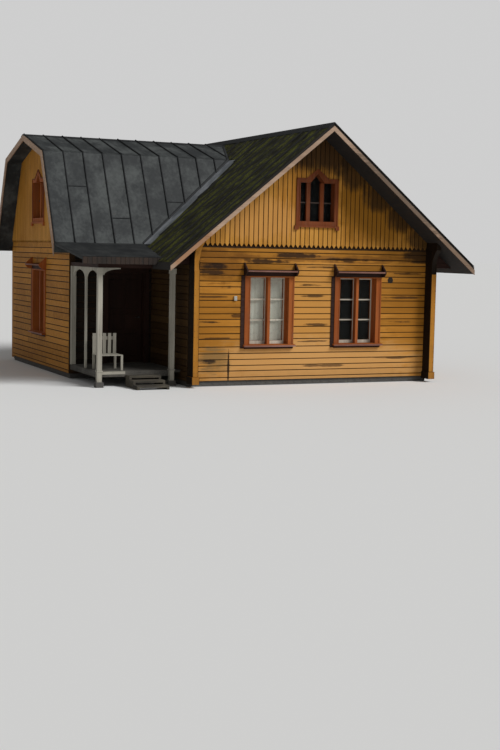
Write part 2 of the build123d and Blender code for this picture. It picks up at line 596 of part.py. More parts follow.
deck = block(post_x, -HALF, post_back, WING_LENGTH, PORCH_FLOOR - DECK_THICK, PORCH_FLOOR)
rim_under = PORCH_FLOOR - DECK_THICK - RIM_HIGH
deck += block(post_x, half_x, post_back, post_back + RIM_THICK, rim_under, PORCH_FLOOR)
deck += block(post_x, post_x + RIM_THICK, post_back, WING_LENGTH, rim_under, PORCH_FLOOR)
nodes["porch_floor"] = deck
piers = [block(x - PIER / 2, x + PIER / 2, y - PIER / 2, y + PIER / 2, 0, PLINTH_TOP)
         for x, y in ((post_x + POST / 2, PORCH_FRONT + POST / 2), (half_x - POST / 2, PORCH_FRONT + POST / 2))]
nodes["foundation"] = [plinth] + piers
bracket = outline((0, 0), (0, -BRACKET_DROP), (BRACKET_LONG, -BRACKET_DROP), (BRACKET_LONG, 0))
bracket -= Pos(BRACKET_LONG, -BRACKET_DROP) * Ellipse(BRACKET_LONG - BRACKET_TIP, BRACKET_DROP - BRACKET_TIP)
bracket_y = PORCH_FRONT + (POST - BRACKET_THICK) / 2
bracket_place = Pos(post_x + POST + CAPITAL_LIP, BEAM_BOTTOM)
nodes["porch_post_left"] = porch_post(post_x, PORCH_FRONT) + along_y(bracket_place * bracket, bracket_y,
                                                                     bracket_y + BRACKET_THICK)
nodes["porch_post_right"] = porch_post(half_x - POST, PORCH_FRONT)
beam = block(post_x, half_x, PORCH_FRONT, post_back, BEAM_BOTTOM, BEAM_BOTTOM + BEAM_HIGH)
nodes["porch_beam"] = beam + block(post_x, post_x + POST, post_back, WING_LENGTH, BEAM_BOTTOM,
                                   BEAM_BOTTOM + BEAM_HIGH)

eave_y = PORCH_FRONT - PORCH_EAVE_REACH
porch_under = FASCIA_TOP - PORCH_ROOF_THICK
porch_face = outline((eave_y, FASCIA_TOP), (TIN_FOOT_Y, TIN_FOOT_LEVEL),
                     (TIN_FOOT_Y, TIN_FOOT_LEVEL - PORCH_ROOF_THICK), (eave_y, porch_under))
porch_slab = along_x(porch_face, tin_end, 0)
fascia = block(tin_end, -EAVE_X, eave_y - FASCIA_THICK, eave_y, BEAM_BOTTOM + BEAM_HIGH, FASCIA_TOP)
nodes["porch_roof"] = porch_slab - above_gable_sheet + fascia

bay = (WING_LENGTH - POST - post_back - ARCADE_POST) / 2
panel = block(arcade_x, arcade_x + ARCADE_THICK, post_back, WING_LENGTH - POST,
              BEAM_BOTTOM - ARCADE_HIGH, BEAM_BOTTOM)
for start in (post_back, post_back + bay + ARCADE_POST):
    crown = BEAM_BOTTOM - ARCH_MARGIN
    arch = Pos(start + bay / 2, crown - ARCH_RISE) * Ellipse(bay / 2, ARCH_RISE)
    below = Pos(start + bay / 2, crown - ARCH_RISE - ARCADE_HIGH / 2) * Rectangle(bay, ARCADE_HIGH)
    panel -= along_x(arch + below, arcade_x, arcade_x + ARCADE_THICK)
middle_post = block(arcade_x, arcade_x + ARCADE_THICK, post_back + bay, post_back + bay + ARCADE_POST,
                    PORCH_FLOOR, BEAM_BOTTOM)
wall_post = block(post_x, post_x + POST, WING_LENGTH - POST, WING_LENGTH, PORCH_FLOOR, BEAM_BOTTOM)
nodes["porch_side_arches"] = panel + middle_post + wall_post

# Steps before the porch, treads between two stringers
rise = PORCH_FLOOR / (STEP_COUNT + 1)
steps = []
foot_y = post_back - STEP_COUNT * STEP_GOING
stringer_points = [(foot_y, 0)]
for index in range(STEP_COUNT):
    level = (index + 1) * rise
    front = foot_y + index * STEP_GOING
    stringer_points += [(front, level - TREAD_THICK), (front + STEP_GOING, level - TREAD_THICK)]
    steps.append(block(STEP_LEFT, STEP_LEFT + STEP_WIDTH, front, front + STEP_GOING,
                       level - TREAD_THICK, level))
stringer_points += [(foot_y + STEP_COUNT * STEP_GOING, 0)]
stringer = outline(*stringer_points)
stair = along_x(stringer, STEP_LEFT, STEP_LEFT + STRINGER)
stair += along_x(stringer, STEP_LEFT + STEP_WIDTH - STRINGER, STEP_LEFT + STEP_WIDTH)
for step in steps:
    stair += step
nodes["porch_steps"] = stair

# Chair on the porch: four legs, a slatted seat and a slatted back
chair_x = post_x + POST + CHAIR_LEFT_GAP
chair_y = PORCH_FRONT + CHAIR_SET
seat = PORCH_FLOOR + CHAIR_SEAT
chair_far = chair_y + CHAIR_DEPTH
chair = block(chair_x, chair_x + CHAIR_WIDTH, chair_y, chair_far, seat - CHAIR_SLAT_THICK, seat)
for x in (chair_x, chair_x + CHAIR_WIDTH - CHAIR_LEG):
    chair += block(x, x + CHAIR_LEG, chair_y, chair_y + CHAIR_LEG, PORCH_FLOOR, seat - CHAIR_SLAT_THICK)
    chair += block(x, x + CHAIR_LEG, chair_far - CHAIR_LEG, chair_far, PORCH_FLOOR, seat)
slat_count = int(CHAIR_WIDTH // (CHAIR_SLAT + CHAIR_SLAT_GAP))
slat_step = (CHAIR_WIDTH - CHAIR_SLAT) / slat_count
for index in range(slat_count + 1):
    x = chair_x + index * slat_step
    chair += block(x, x + CHAIR_SLAT, chair_far - CHAIR_SLAT_THICK, chair_far, seat, PORCH_FLOOR + CHAIR_BACK)
chair += block(chair_x, chair_x + CHAIR_WIDTH, chair_far, chair_far + CHAIR_SLAT_THICK,
               PORCH_FLOOR + CHAIR_BACK - 2 * CHAIR_SLAT, PORCH_FLOOR + CHAIR_BACK - CHAIR_SLAT)
nodes["porch_chair"] = chair

# Entrance door, its frame and its two handles
frame_left, frame_right = hinge_x - HINGE_GAP, DOOR_CENTRE + LEAF_WIDTH / 2 + LOCK_GAP
frame = block(door_left, door_right, WING_LENGTH, ENTRANCE_BACK, FLOOR_TOP, door_head + JAMB)
frame += block(door_left + JAMB - DOOR_CASING, door_right - JAMB + DOOR_CASING,
               WING_LENGTH - CASING_THICK, WING_LENGTH, PORCH_FLOOR, door_head + DOOR_CASING)
frame -= block(frame_left, frame_right, 0, ENTRANCE_BACK, 0, door_head)
leaf_face = ENTRANCE_BACK - LEAF_THICK
frame += block(frame_left, frame_right, WING_LENGTH, leaf_face - HINGE_GAP,
               FLOOR_TOP, FLOOR_TOP + THRESHOLD_HIGH)
leaf = block(hinge_x, hinge_x + LEAF_WIDTH, leaf_face, ENTRANCE_BACK, leaf_bottom, leaf_bottom + LEAF_HEIGHT)
pin_y = ENTRANCE_BACK + HINGE_OFFSET
for level in (leaf_bottom + LEAF_HEIGHT / 7, leaf_bottom + LEAF_HEIGHT * 6 / 7):
    barrel = Pos(hinge_x, pin_y, level + HINGE_HIGH / 2) * Cylinder(HINGE_RADIUS, HINGE_HIGH)
    strap = block(hinge_x, hinge_x + STRAP_LONG, ENTRANCE_BACK, ENTRANCE_BACK + STRAP_THICK,
                  level, level + HINGE_HIGH)
    leaf += barrel + strap
    seat_barrel = Pos(hinge_x, pin_y, level - HINGE_SEAT - HINGE_HIGH / 2) * Cylinder(HINGE_RADIUS, HINGE_HIGH)
    plate = block(hinge_x - HINGE_GAP - JAMB, hinge_x, ENTRANCE_BACK, ENTRANCE_BACK + STRAP_THICK,
                  level - HINGE_SEAT - HINGE_HIGH, level - HINGE_SEAT)
    frame += seat_barrel + plate
nodes["door_frame"] = frame
nodes["entrance_door"] = leaf

handle_x = hinge_x + LEAF_WIDTH - HANDLE_INSET
handle_z = FLOOR_TOP + HANDLE_LEVEL


def lever_handle(face, out):
    """A rose, neck and lever on one face of the leaf, out being +1 into the house and -1 outside."""
    lying = Rot(90, 0, 0)
    rose = Pos(handle_x, face + out * ROSE_THICK / 2, handle_z) * lying * Cylinder(ROSE_RADIUS, ROSE_THICK)
    neck = Pos(handle_x, face + out * LEVER_REACH / 2, handle_z) * lying * Cylinder(LEVER_RADIUS, LEVER_REACH)
    lever = Pos(handle_x - LEVER_LONG / 2 + LEVER_RADIUS, face + out * LEVER_REACH, handle_z)
    return rose + neck + lever * Rot(0, 90, 0) * Cylinder(LEVER_RADIUS, LEVER_LONG)


nodes["door_handles"] = [lever_handle(leaf_face, -1), lever_handle(ENTRANCE_BACK, 1)]

# Small pieces on the gabled front
vent = Rot(90, 0, 0) * Cylinder(VENT_RADIUS, VENT_THICK)
nodes["wall_vent"] = Pos(VENT_X, -VENT_THICK / 2, VENT_LEVEL) * vent
nodes["wall_box"] = block(BOX_X - BOX_WIDTH / 2, BOX_X + BOX_WIDTH / 2, -BOX_DEEP, 0,
                          BOX_LEVEL - BOX_HIGH / 2, BOX_LEVEL + BOX_HIGH / 2)

# The origin is on the ground, in the middle of the whole
shapes = {name: Compound(shape) if isinstance(shape, list) else shape for name, shape in nodes.items()}
middle = Compound(list(shapes.values())).bounding_box().center()
to_origin = Pos(-middle.X, -middle.Y, 0)

os.makedirs("parts", exist_ok=True)
for name, shape in shapes.items():
    export_step(to_origin * shape, f"parts/{name}.step")
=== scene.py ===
"""Dresses a boarded log cabin: boards, windows, roof sheets, porch and stonework around its solid pieces."""

import logging
import math
import random
from collections.abc import Iterable
from dataclasses import dataclass, field
from enum import Enum
from itertools import accumulate

import bmesh
import bpy
from mathutils import Matrix, Vector


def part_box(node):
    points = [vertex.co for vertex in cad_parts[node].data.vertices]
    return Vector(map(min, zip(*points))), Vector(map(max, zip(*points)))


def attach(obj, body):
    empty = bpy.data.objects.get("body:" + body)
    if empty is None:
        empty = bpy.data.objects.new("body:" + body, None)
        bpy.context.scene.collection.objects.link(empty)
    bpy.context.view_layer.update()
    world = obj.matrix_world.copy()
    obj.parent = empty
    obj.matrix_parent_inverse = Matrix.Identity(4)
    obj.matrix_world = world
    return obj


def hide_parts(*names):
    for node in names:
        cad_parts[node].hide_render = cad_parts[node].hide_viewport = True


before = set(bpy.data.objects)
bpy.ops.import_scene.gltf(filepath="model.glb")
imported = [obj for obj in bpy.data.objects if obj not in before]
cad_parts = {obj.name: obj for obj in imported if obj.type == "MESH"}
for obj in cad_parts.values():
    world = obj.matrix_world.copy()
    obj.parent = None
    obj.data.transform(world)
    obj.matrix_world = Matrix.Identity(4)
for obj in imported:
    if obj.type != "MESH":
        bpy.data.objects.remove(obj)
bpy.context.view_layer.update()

log = logging.getLogger("cabin")
Colour = tuple[float, float, float]
Span = tuple[float, float]
Hole = tuple[float, float, float, float]
HOUSE = "house"
DOOR = "door"
AXIS_X, AXIS_Y, AXIS_Z = Vector((1.0, 0.0, 0.0)), Vector((0.0, 1.0, 0.0)), Vector((0.0, 0.0, 1.0))
DEPTH = 7.15
RIDGE = 5.6
GABLE_STEEP = 0.81849
TIN_LEFT, TIN_MIDDLE = -5.25, 4.70
TIN_REACH, BREAK_REACH = 2.60, 1.6227
VALLEY = ((-3.2011, TIN_REACH, 2.98), (-0.7530, BREAK_REACH, 4.9837), (-0.1848, 0.0, 5.4487))


def origin() -> Vector:
    """The foot of the gabled front's middle, from which every size below is measured."""
    low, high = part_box("front_wall")
    return Vector(((low.x + high.x) / 2, low.y, 0.0))


ORIGIN = origin()


def at(x: float, y: float, z: float) -> Vector:
    """A point measured from the gabled front's foot, in the frame."""
    return ORIGIN + Vector((x, y, z))


@dataclass
class Signal:
    """A value that varies over a surface, on which Python's operators add Math nodes."""

    graph: "Graph"
    socket: bpy.types.NodeSocket

    def __add__(self, other: "Signal | float") -> "Signal":
        """This plus another."""
        return self.graph.math("ADD", self, other)

    __radd__ = __add__

    def __sub__(self, other: "Signal | float") -> "Signal":
        """This less another."""
        return self.graph.math("SUBTRACT", self, other)

    def __rsub__(self, other: float) -> "Signal":
        """A number less this."""
        return self.graph.math("SUBTRACT", other, self)

    def __mul__(self, other: "Signal | float") -> "Signal":
        """This times another."""
        return self.graph.math("MULTIPLY", self, other)

    __rmul__ = __mul__

    def __truediv__(self, other: "Signal | float") -> "Signal":
        """This divided by another."""
        return self.graph.math("DIVIDE", self, other)

    def __gt__(self, other: "Signal | float") -> "Signal":
        """One where this is greater, else nought."""
        return self.graph.math("GREATER_THAN", self, other)

    def __lt__(self, other: "Signal | float") -> "Signal":
        """One where this is less, else nought."""
        return self.graph.math("LESS_THAN", self, other)

    def ease(self, low: "Signal | float", high: float) -> "Signal":
        """A smooth step from nought at low to one at high."""
        return self.graph.node("ShaderNodeMapRange", {"interpolation_type": "SMOOTHSTEP"},
                               {"Value": self, "From Min": low, "From Max": high})

    def also(self, name: str) -> "Signal":
        """Another output of the same node."""
        return Signal(self.graph, Graph.pick(self.socket.node.outputs, name))


@dataclass
class Graph:
    """Adds nodes to a shader or geometry tree and links them."""

    tree: bpy.types.NodeTree

    @staticmethod
    def pick(sockets: Iterable[bpy.types.NodeSocket], key: str | int) -> bpy.types.NodeSocket:
        """Finds a socket.

        Args:
            sockets: A node's inputs or outputs.
            key: Its place, identifier or name.

        Returns:
            The socket, an enabled one where several share the name.
        """
        if isinstance(key, int):
            return sockets[key]
        named = [socket for socket in sockets if key in (socket.identifier, socket.name)]
        return ([socket for socket in named if socket.enabled] or named)[0]

    def node(self, kind: str, settings: dict | None = None, sockets: dict | None = None,
             output: str | None = None) -> Signal:
        """Adds a node of any type.

        Args:
            kind: The node's type.
            settings: Its properties, set before its sockets.
            sockets: Values or signals by input name, identifier or place.
            output: Which output to return, the first enabled one if left out.

        Returns:
            The chosen output.
        """
        made = self.tree.nodes.new(kind)
        for name, value in (settings or {}).items():
            setattr(made, name, value)
        for key, value in (sockets or {}).items():
            self.feed(self.pick(made.inputs, key), value)
        shown = [socket for socket in made.outputs if socket.enabled] or [None]
        return Signal(self, self.pick(made.outputs, output) if output else shown[0])

    def feed(self, target: bpy.types.NodeSocket, value: object) -> None:
        """Links a signal to an input, or sets its value.

        Args:
            target: The input.
            value: A signal or a plain value.
        """
        if isinstance(value, Signal):
            self.tree.links.new(value.socket, target)
        elif target.type == "RGBA" and len(value) == 3:
            target.default_value = (*value, 1.0)
        else:
            target.default_value = value

    def math(self, operation: str, *values: Signal | float) -> Signal:
        """Adds a Math node on up to three values."""
        return self.node("ShaderNodeMath", {"operation": operation}, dict(enumerate(values)))

    def vector(self, operation: str, sockets: dict) -> Signal:
        """Adds a Vector Math node."""
        return self.node("ShaderNodeVectorMath", {"operation": operation}, sockets)


class Grain(Enum):
    """The direction that wood fibres or sheet folds run in."""

    X = 0
    Y = 1
    Z = 2


@dataclass
class Surface:
    """A material being made: its graph, its coordinates and its direction of grain."""

    graph: Graph
    place: Signal
    grain: Grain

    def noise(self, scale: float, detail: float = 4.0, rough: float = 0.55, place: Signal | None = None) -> Signal:
        """A noise field from nought to one, by its features a metre, its octaves and the fine ones' strength."""
        return self.graph.node("ShaderNodeTexNoise", None, {"Vector": place or self.place, "Scale": scale,
                                                            "Detail": detail, "Roughness": rough})

    def fibres(self, along: float, across: float, detail: float, rough: float = 0.55) -> Signal:
        """A noise field drawn out along the grain, by its features a metre along and across it."""
        scale = tuple(along if axis == self.grain.value else across for axis in range(3))
        return self.noise(1.0, detail, rough, self.graph.vector("MULTIPLY", {0: self.place, 1: scale}))

    def mark(self, name: str) -> Signal:
        """A number that the mesh carries at each point."""
        return self.graph.node("ShaderNodeAttribute", {"attribute_type": "GEOMETRY", "attribute_name": name},
                               output="Fac")

    def axis(self, name: str) -> Signal:
        """One of the three coordinates."""
        return self.graph.node("ShaderNodeSeparateXYZ", None, {"Vector": self.place}, name)

    def blend(self, factor: Signal | float, first: Signal | Colour, second: Signal | Colour) -> Signal:
        """A mix of two colours, with the factor's share of the second."""
        return self.graph.node("ShaderNodeMix", {"data_type": "RGBA", "blend_type": "MIX", "clamp_factor": True},
                               {"Factor_Float": factor, "A_Color": first, "B_Color": second}, "Result_Color")

    def close(self, colour: Signal | Colour, roughness: Signal | float, height: Signal | None = None,
              depth: float = 0.002, **extra: Signal | float) -> None:
        """Ends the shader in one principled surface.

        Args:
            colour: Base colour.
            roughness: Roughness.
            height: Bump height from nought to one.
            depth: How far that height stands out, in metres.
            extra: Further values for the shader's own sockets, with _ for a space in their names.
        """
        sockets = {"Base Color": colour, "Roughness": roughness,
                   **{name.replace("_", " "): value for name, value in extra.items()}}
        if height is not None:
            sockets["Normal"] = self.graph.node("ShaderNodeBump", None,
                                                {"Strength": 0.8, "Distance": depth, "Height": height})
        shader = self.graph.node("ShaderNodeBsdfPrincipled", None, sockets)
        self.graph.node("ShaderNodeOutputMaterial", None, {"Surface": shader})


@dataclass(frozen=True)
class Room:
    """A space inside the log walls, used to leave painted wood off their inner faces."""

    low: Colour
    high: Colour

    def mask(self, surface: Surface) -> Signal:
        """One inside the room and nought outside it.

        Args:
            surface: The material being made.

        Returns:
            The mask.
        """
        axes = [surface.axis(name) for name in "XYZ"]
        checks = [(value > low) * (value < high) for value, low, high in zip(axes, self.low, self.high)]
        return checks[0] * checks[1] * checks[2]


@dataclass(frozen=True)
class Blot:
    """A soft-edged patch of another colour on the gabled front, by its middle and reach across and up; some are stains,
    some painted light and shade.
    """

    x: float
    z: float
    reach: Span
    colour: Colour
    strength: float = 0.8
    ragged: float = 0.9

    def mask(self, surface: Surface, ragged: Signal) -> Signal:
        """One in the patch's middle, falling to nought past its ragged edge.

        Args:
            surface: The material being made.
            ragged: The noise that breaks up its edge.

        Returns:
            The mask.
        """
        across = (surface.axis("X") - (ORIGIN.x + self.x)) / self.reach[0]
        up = (surface.axis("Z") - self.z) / self.reach[1]
        near = 1.0 - (across * across + up * up)
        return (near + (ragged - 0.5) * (9.0 * self.ragged)).ease(0.0, 0.75)


@dataclass(frozen=True)
class Finish:
    """A surface, made into one material for each direction of grain."""

    name: str

    def material(self, grain: Grain) -> bpy.types.Material:
        """Makes the material for one direction of grain, or finds it when it is there.

        Args:
            grain: The direction.

        Returns:
            The material.
        """
        title = f"{self.name}_{grain.name.lower()}"
        made = bpy.data.materials.get(title)
        if not made:
            made = bpy.data.materials.new(title)
            made.use_nodes = True
            made.node_tree.nodes.clear()
            graph = Graph(made.node_tree)
            self.dress(Surface(graph, graph.node("ShaderNodeTexCoord", output="Object"), grain))
        return made

    def dress(self, s: Surface) -> None:
        """Adds the shader's nodes, each finish its own."""
        raise NotImplementedError


@dataclass(frozen=True)
class PaintedWood(Finish):
    """Paint on wood: faded, worn off along the grain, stained, with painted light and shade, and left off inside the
    rooms.
    """

    paint: Colour
    shade: Colour
    bare: Colour
    wear: float
    stain: float = 0.0
    stain_band: Span = (1.9, 2.95)
    splash: float = 0.0
    rooms: tuple[Room, ...] = ()
    blots: tuple[Blot, ...] = ()

    def dress(self, s: Surface) -> None:
        """Lays paint over fibres, with wear, stains, splashes, painted light and shade, and one tone for each board.

        Args:
            s: The material being made.
        """
        tone = s.mark("tone")
        fibres = s.fibres(1.6, 30.0, 6.0, 0.62)
        marks = s.fibres(0.9, 11.0, 5.0, 0.6)
        patches, fine = s.noise(4.5, 5.0, 0.6), s.noise(60.0, 3.0)
        colour = s.blend((s.noise(0.9) * 0.5 + marks * 0.5).ease(0.36, 0.66), self.shade, self.paint)
        lighter = tuple(min(0.9, 1.3 * part + 0.004) for part in self.paint)
        colour = s.blend(tone.ease(0.0, 1.0) * 0.55, colour, lighter)
        colour = s.blend((0.0 - tone).ease(0.0, 1.0) * 0.38, colour, self.shade)
        colour = s.blend(0.22 * fibres.ease(0.35, 0.75), colour, self.bare)
        worn = (fibres * 0.45 + patches * 0.4 + fine * 0.15).ease(0.66 - 0.2 * self.wear, 0.72 - 0.14 * self.wear)
        colour = s.blend(worn * 0.85, colour, self.bare)
        if self.stain:
            run = (marks * 0.6 + patches * 0.4).ease(0.50, 0.62) * s.axis("Z").ease(*self.stain_band)
            colour = s.blend(run * self.stain, colour, (0.035, 0.018, 0.008))
        # Blots: stains, painted light and painted shade.
        for blot in self.blots:
            mask = blot.mask(s, fibres * 0.35 + marks * 0.35 + patches * 0.3)
            colour = s.blend(mask * blot.strength, colour, blot.colour)
        if self.splash:
            low = 1.0 - (s.axis("Z") + patches * 0.25).ease(0.16, 0.62)
            colour = s.blend(low * self.splash, colour, (0.09, 0.06, 0.035))
        if self.rooms:
            inside = self.rooms[0].mask(s)
            for room in self.rooms[1:]:
                inside = s.graph.math("MAXIMUM", inside, room.mask(s))
            colour = s.blend(inside, colour, s.blend(fibres, (0.12, 0.08, 0.045), (0.20, 0.14, 0.08)))
        # Board edges and chamfers go near-black: painted shade in the joints, along with their dirt.
        colour = s.blend(s.mark("edge").ease(0.05, 0.8) * 0.92, colour, (0.016, 0.009, 0.004))
        s.close(colour, 0.55 + worn * 0.25 + fine * 0.12, fibres * 0.45 + fine * 0.15 + (1.0 - worn) * 0.4, 0.0025,
                Specular_IOR_Level=0.12)


@dataclass(frozen=True)
class WeatheredWood(Finish):
    """Bare wood gone grey, with open fibres."""

    light: Colour
    dark: Colour

    def dress(self, s: Surface) -> None:
        """Adds fibres, cracks and cloudy greying.

        Args:
            s: The material being made.
        """
        fibres = s.fibres(2.0, 42.0, 7.0, 0.65)
        cracks = fibres.ease(0.60, 0.66)
        colour = s.blend((fibres * 0.6 + s.noise(2.4) * 0.4 + s.mark("tone") * 0.06).ease(0.38, 0.62), self.dark,
                         self.light)
        s.close(s.blend(cracks * 0.5, colour, (0.03, 0.025, 0.02)), 0.72 + fibres * 0.2, fibres - cracks * 0.5, 0.003)


@dataclass(frozen=True)
class MossySheet(Finish):
    """Old roofing sheet under patches of moss."""

    sheet: Colour = (0.013, 0.012, 0.008)
    moss: Colour = (0.062, 0.066, 0.014)
    amount: float = 0.80

    def dress(self, s: Surface) -> None:
        """Adds dark sheet, with moss in soft streaks down the slope and lumps that stand up.

        Args:
            s: The material being made.
        """
        clumps, fields, fine = s.noise(26.0, 5.0, 0.65), s.noise(1.1, 3.0), s.noise(130.0, 3.0)
        amount = s.fibres(0.7, 5.5, 5.0, 0.6) * 0.45 + fields * 0.30 + clumps * 0.25
        cover = amount.ease(0.60 - 0.2 * self.amount, 0.74 - 0.2 * self.amount)
        green = s.blend(clumps.ease(0.35, 0.7), self.moss, (0.135, 0.140, 0.032))
        dull = s.blend(fields, self.sheet, (0.026, 0.024, 0.015))
        s.close(s.blend(cover, dull, green), 0.78 + cover * 0.2, cover * (0.4 + clumps * 0.6) + fine * 0.12, 0.006,
                Specular_IOR_Level=0.12)


@dataclass(frozen=True)
class TinSheet(Finish):
    """Painted sheet metal gone dull, with run marks, scuffs and rust spots."""

    paint: Colour = (0.016, 0.019, 0.020)
    worn: Colour = (0.075, 0.082, 0.080)
    rust: float = 0.25

    def dress(self, s: Surface) -> None:
        """Adds cloudy paint, marks down the slope, a little rust and a soft gloss.

        Args:
            s: The material being made.
        """
        clouds, fine = s.noise(1.7, 5.0, 0.6), s.noise(45.0)
        colour = s.blend((clouds * 0.75 + s.fibres(0.8, 14.0, 4.0) * 0.25).ease(0.40, 0.68), self.paint, self.worn)
        spots = s.noise(7.0, 6.0, 0.7).ease(0.66 - 0.08 * self.rust, 0.74)
        s.close(s.blend(spots * self.rust, colour, (0.12, 0.045, 0.018)), 0.55 + clouds * 0.22 + spots * 0.2,
                clouds * 0.5 + fine * 0.12, 0.004, Specular_IOR_Level=0.3)


@dataclass(frozen=True)
class FieldStone(Finish):
    """Grey field stone with mortar dust and lichen."""

    stone: Colour = (0.085, 0.080, 0.072)

    def dress(self, s: Surface) -> None:
        """Adds speckle, a tone for each stone, and pale lichen.

        Args:
            s: The material being made.
        """
        speckle, clouds = s.noise(90.0, 4.0, 0.7), s.noise(8.0, 5.0, 0.6)
        colour = s.blend((speckle * 0.5 + clouds * 0.5 + s.mark("tone") * 0.1).ease(0.36, 0.64),
                         (0.07, 0.065, 0.06), self.stone)
        s.close(s.blend(clouds.ease(0.60, 0.68) * 0.4, colour, (0.14, 0.14, 0.10)), 0.85,
                speckle * 0.4 + clouds * 0.6, 0.006)


@dataclass(frozen=True)
class WindowGlass(Finish):
    """Old glass: nearly clear, brighter where it is seen at a slant."""

    tint: Colour = (0.045, 0.055, 0.055)

    def dress(self, s: Surface) -> None:
        """Adds alpha that follows the view's slant, with slow waves and dust.

        Args:
            s: The material being made.
        """
        dust = s.noise(14.0, 5.0, 0.65)
        slant = s.graph.node("ShaderNodeFresnel", None, {"IOR": 1.5})
        s.close(s.blend(dust.ease(0.55, 0.85), self.tint, (0.20, 0.20, 0.18)), 0.05 + dust * 0.10,
                s.noise(2.2, 2.0), 0.004, Alpha=0.05 + slant * 0.5 + dust.ease(0.5, 0.8) * 0.08)


@dataclass(frozen=True)
class CurtainCloth(Finish):
    """Thin pale woven cloth."""

    cloth: Colour = (0.93, 0.94, 0.80)

    def dress(self, s: Surface) -> None:
        """Adds a fine weave and faint folds of shade.

        Args:
            s: The material being made.
        """
        weave = s.graph.node("ShaderNodeTexWave", {"bands_direction": "Z"}, {"Vector": s.place, "Scale": 160.0})
        clouds = s.noise(5.0, 3.0)
        s.close(s.blend(clouds, self.cloth, (0.88, 0.90, 0.75)), 0.9, weave * 0.4 + clouds * 0.6, 0.0006)


@dataclass(frozen=True)
class ForgedIron(Finish):
    """Dark iron or painted fittings, rubbed in patches."""

    metal: Colour = (0.03, 0.028, 0.026)
    rubbed: Colour = (0.10, 0.09, 0.08)
    gloss: float = 0.45

    def dress(self, s: Surface) -> None:
        """Adds uneven metal with a rubbed sheen.

        Args:
            s: The material being made.
        """
        clouds, fine = s.noise(35.0), s.noise(240.0, 3.0)
        s.close(s.blend(clouds.ease(0.45, 0.7), self.metal, self.rubbed), self.gloss + fine * 0.2,
                clouds * 0.4 + fine * 0.4, 0.0006, Metallic=0.4)


SOOT = (0.030, 0.014, 0.006)
RAW = (0.055, 0.026, 0.010)
WET = (0.045, 0.020, 0.008)
DAMP = (0.040, 0.018, 0.007)
# Painted shadow of the roof's overhang.
ROOF_SHADOW = (0.034, 0.017, 0.006)
FRONT_STAINS_AND_SHADE = (
    # Paler in the middle and toward the foot, darker at both ends.
    Blot(0.1, 1.45, (1.3, 1.6), (0.60, 0.290, 0.070), 0.75, 0.3),
    Blot(0.0, 0.45, (3.4, 0.75), (0.63, 0.345, 0.125), 0.70, 0.3),
    Blot(2.40, 1.60, (0.70, 0.9), (0.33, 0.130, 0.012), 0.6, 0.4),
    Blot(-2.50, 1.50, (0.60, 0.8), (0.38, 0.150, 0.015), 0.4, 0.4),
    # Painted shade on the upper left and along the top under the eave.
    Blot(-2.30, 2.60, (0.80, 0.46), (0.19, 0.072, 0.008), 0.75, 0.6),
    Blot(0.4, 2.74, (2.9, 0.10), (0.17, 0.065, 0.010), 0.6),
    # Stains and dark marks, and duller older boards at the lower left.
    Blot(-2.45, 2.545, (0.46, 0.075), (0.018, 0.009, 0.005), 0.95, 0.7),
    Blot(-2.50, 2.42, (0.36, 0.07), (0.035, 0.016, 0.006), 0.9, 0.8),
    Blot(-1.20, 2.665, (0.62, 0.070), SOOT, 0.9, 0.7),
    Blot(-0.45, 2.80, (0.70, 0.055), SOOT, 0.9),
    Blot(0.9, 2.72, (0.8, 0.050), SOOT, 0.85),
    Blot(-2.40, 1.36, (0.42, 0.030), SOOT, 0.9, 0.8),
    Blot(-1.85, 1.50, (0.16, 0.050), (0.10, 0.040, 0.008), 0.9, 0.8),
    Blot(0.0, 1.93, (0.34, 0.045), RAW, 0.85),
    Blot(0.0, 1.30, (0.40, 0.035), RAW, 0.85),
    Blot(2.25, 1.90, (0.50, 0.030), (0.050, 0.022, 0.008), 0.85, 0.8),
    Blot(2.15, 0.55, (0.55, 0.030), (0.060, 0.028, 0.010), 0.85, 0.8),
    Blot(0.3, 0.40, (0.60, 0.030), (0.10, 0.050, 0.020)),
    Blot(-2.35, 0.55, (0.42, 0.34), (0.22, 0.130, 0.045), 0.8, 0.6),
    Blot(-2.45, 0.52, (0.26, 0.06), (0.022, 0.014, 0.010), 0.9),
    # Painted shadow: a thin upright line where newer boards step out low on the left, a line under the gable's board
    # points, and the upper right corner under the eave.
    Blot(-2.02, 0.42, (0.030, 0.42), (0.018, 0.010, 0.006), 0.95, 0.25),
    Blot(0.0, 2.965, (9.0, 0.040), (0.010, 0.006, 0.004), 0.95, 0.12),
    Blot(2.72, 2.86, (0.55, 0.24), (0.030, 0.015, 0.006), 0.90, 0.4),
    # Dark marks.
    Blot(-0.1, 2.17, (0.30, 0.026), DAMP, 0.85),
    Blot(0.25, 2.555, (0.50, 0.022), SOOT, 0.85),
    Blot(2.25, 1.36, (0.50, 0.024), WET),
    Blot(2.30, 2.44, (0.40, 0.024), WET, 0.85),
    Blot(-2.45, 1.90, (0.34, 0.024), WET),
    Blot(-2.35, 1.02, (0.45, 0.026), DAMP),
    Blot(0.0, 0.94, (0.40, 0.024), (0.060, 0.028, 0.010)),
)
GABLE_LIGHT_AND_SHADE = (
    # Painted light and shade: a paler lower left where light falls, a darker right side, and the overhang's shadow at
    # the peak and along the right rake.
    Blot(1.55, 3.85, (1.5, 0.95), (0.27, 0.110, 0.006), 0.8, 0.4),
    Blot(-1.2, 3.55, (1.2, 0.55), (0.60, 0.290, 0.080), 0.6, 0.4),
    Blot(0.1, 5.10, (1.5, 0.62), (0.026, 0.013, 0.006), 0.90, 0.3),
    Blot(1.00, 4.62, (0.62, 0.46), ROOF_SHADOW, 0.85, 0.3),
    Blot(1.62, 4.15, (0.60, 0.44), ROOF_SHADOW, 0.85, 0.3),
    Blot(2.20, 3.70, (0.56, 0.42), ROOF_SHADOW, 0.85, 0.3),
    Blot(2.72, 3.28, (0.52, 0.40), ROOF_SHADOW, 0.85, 0.3),
)
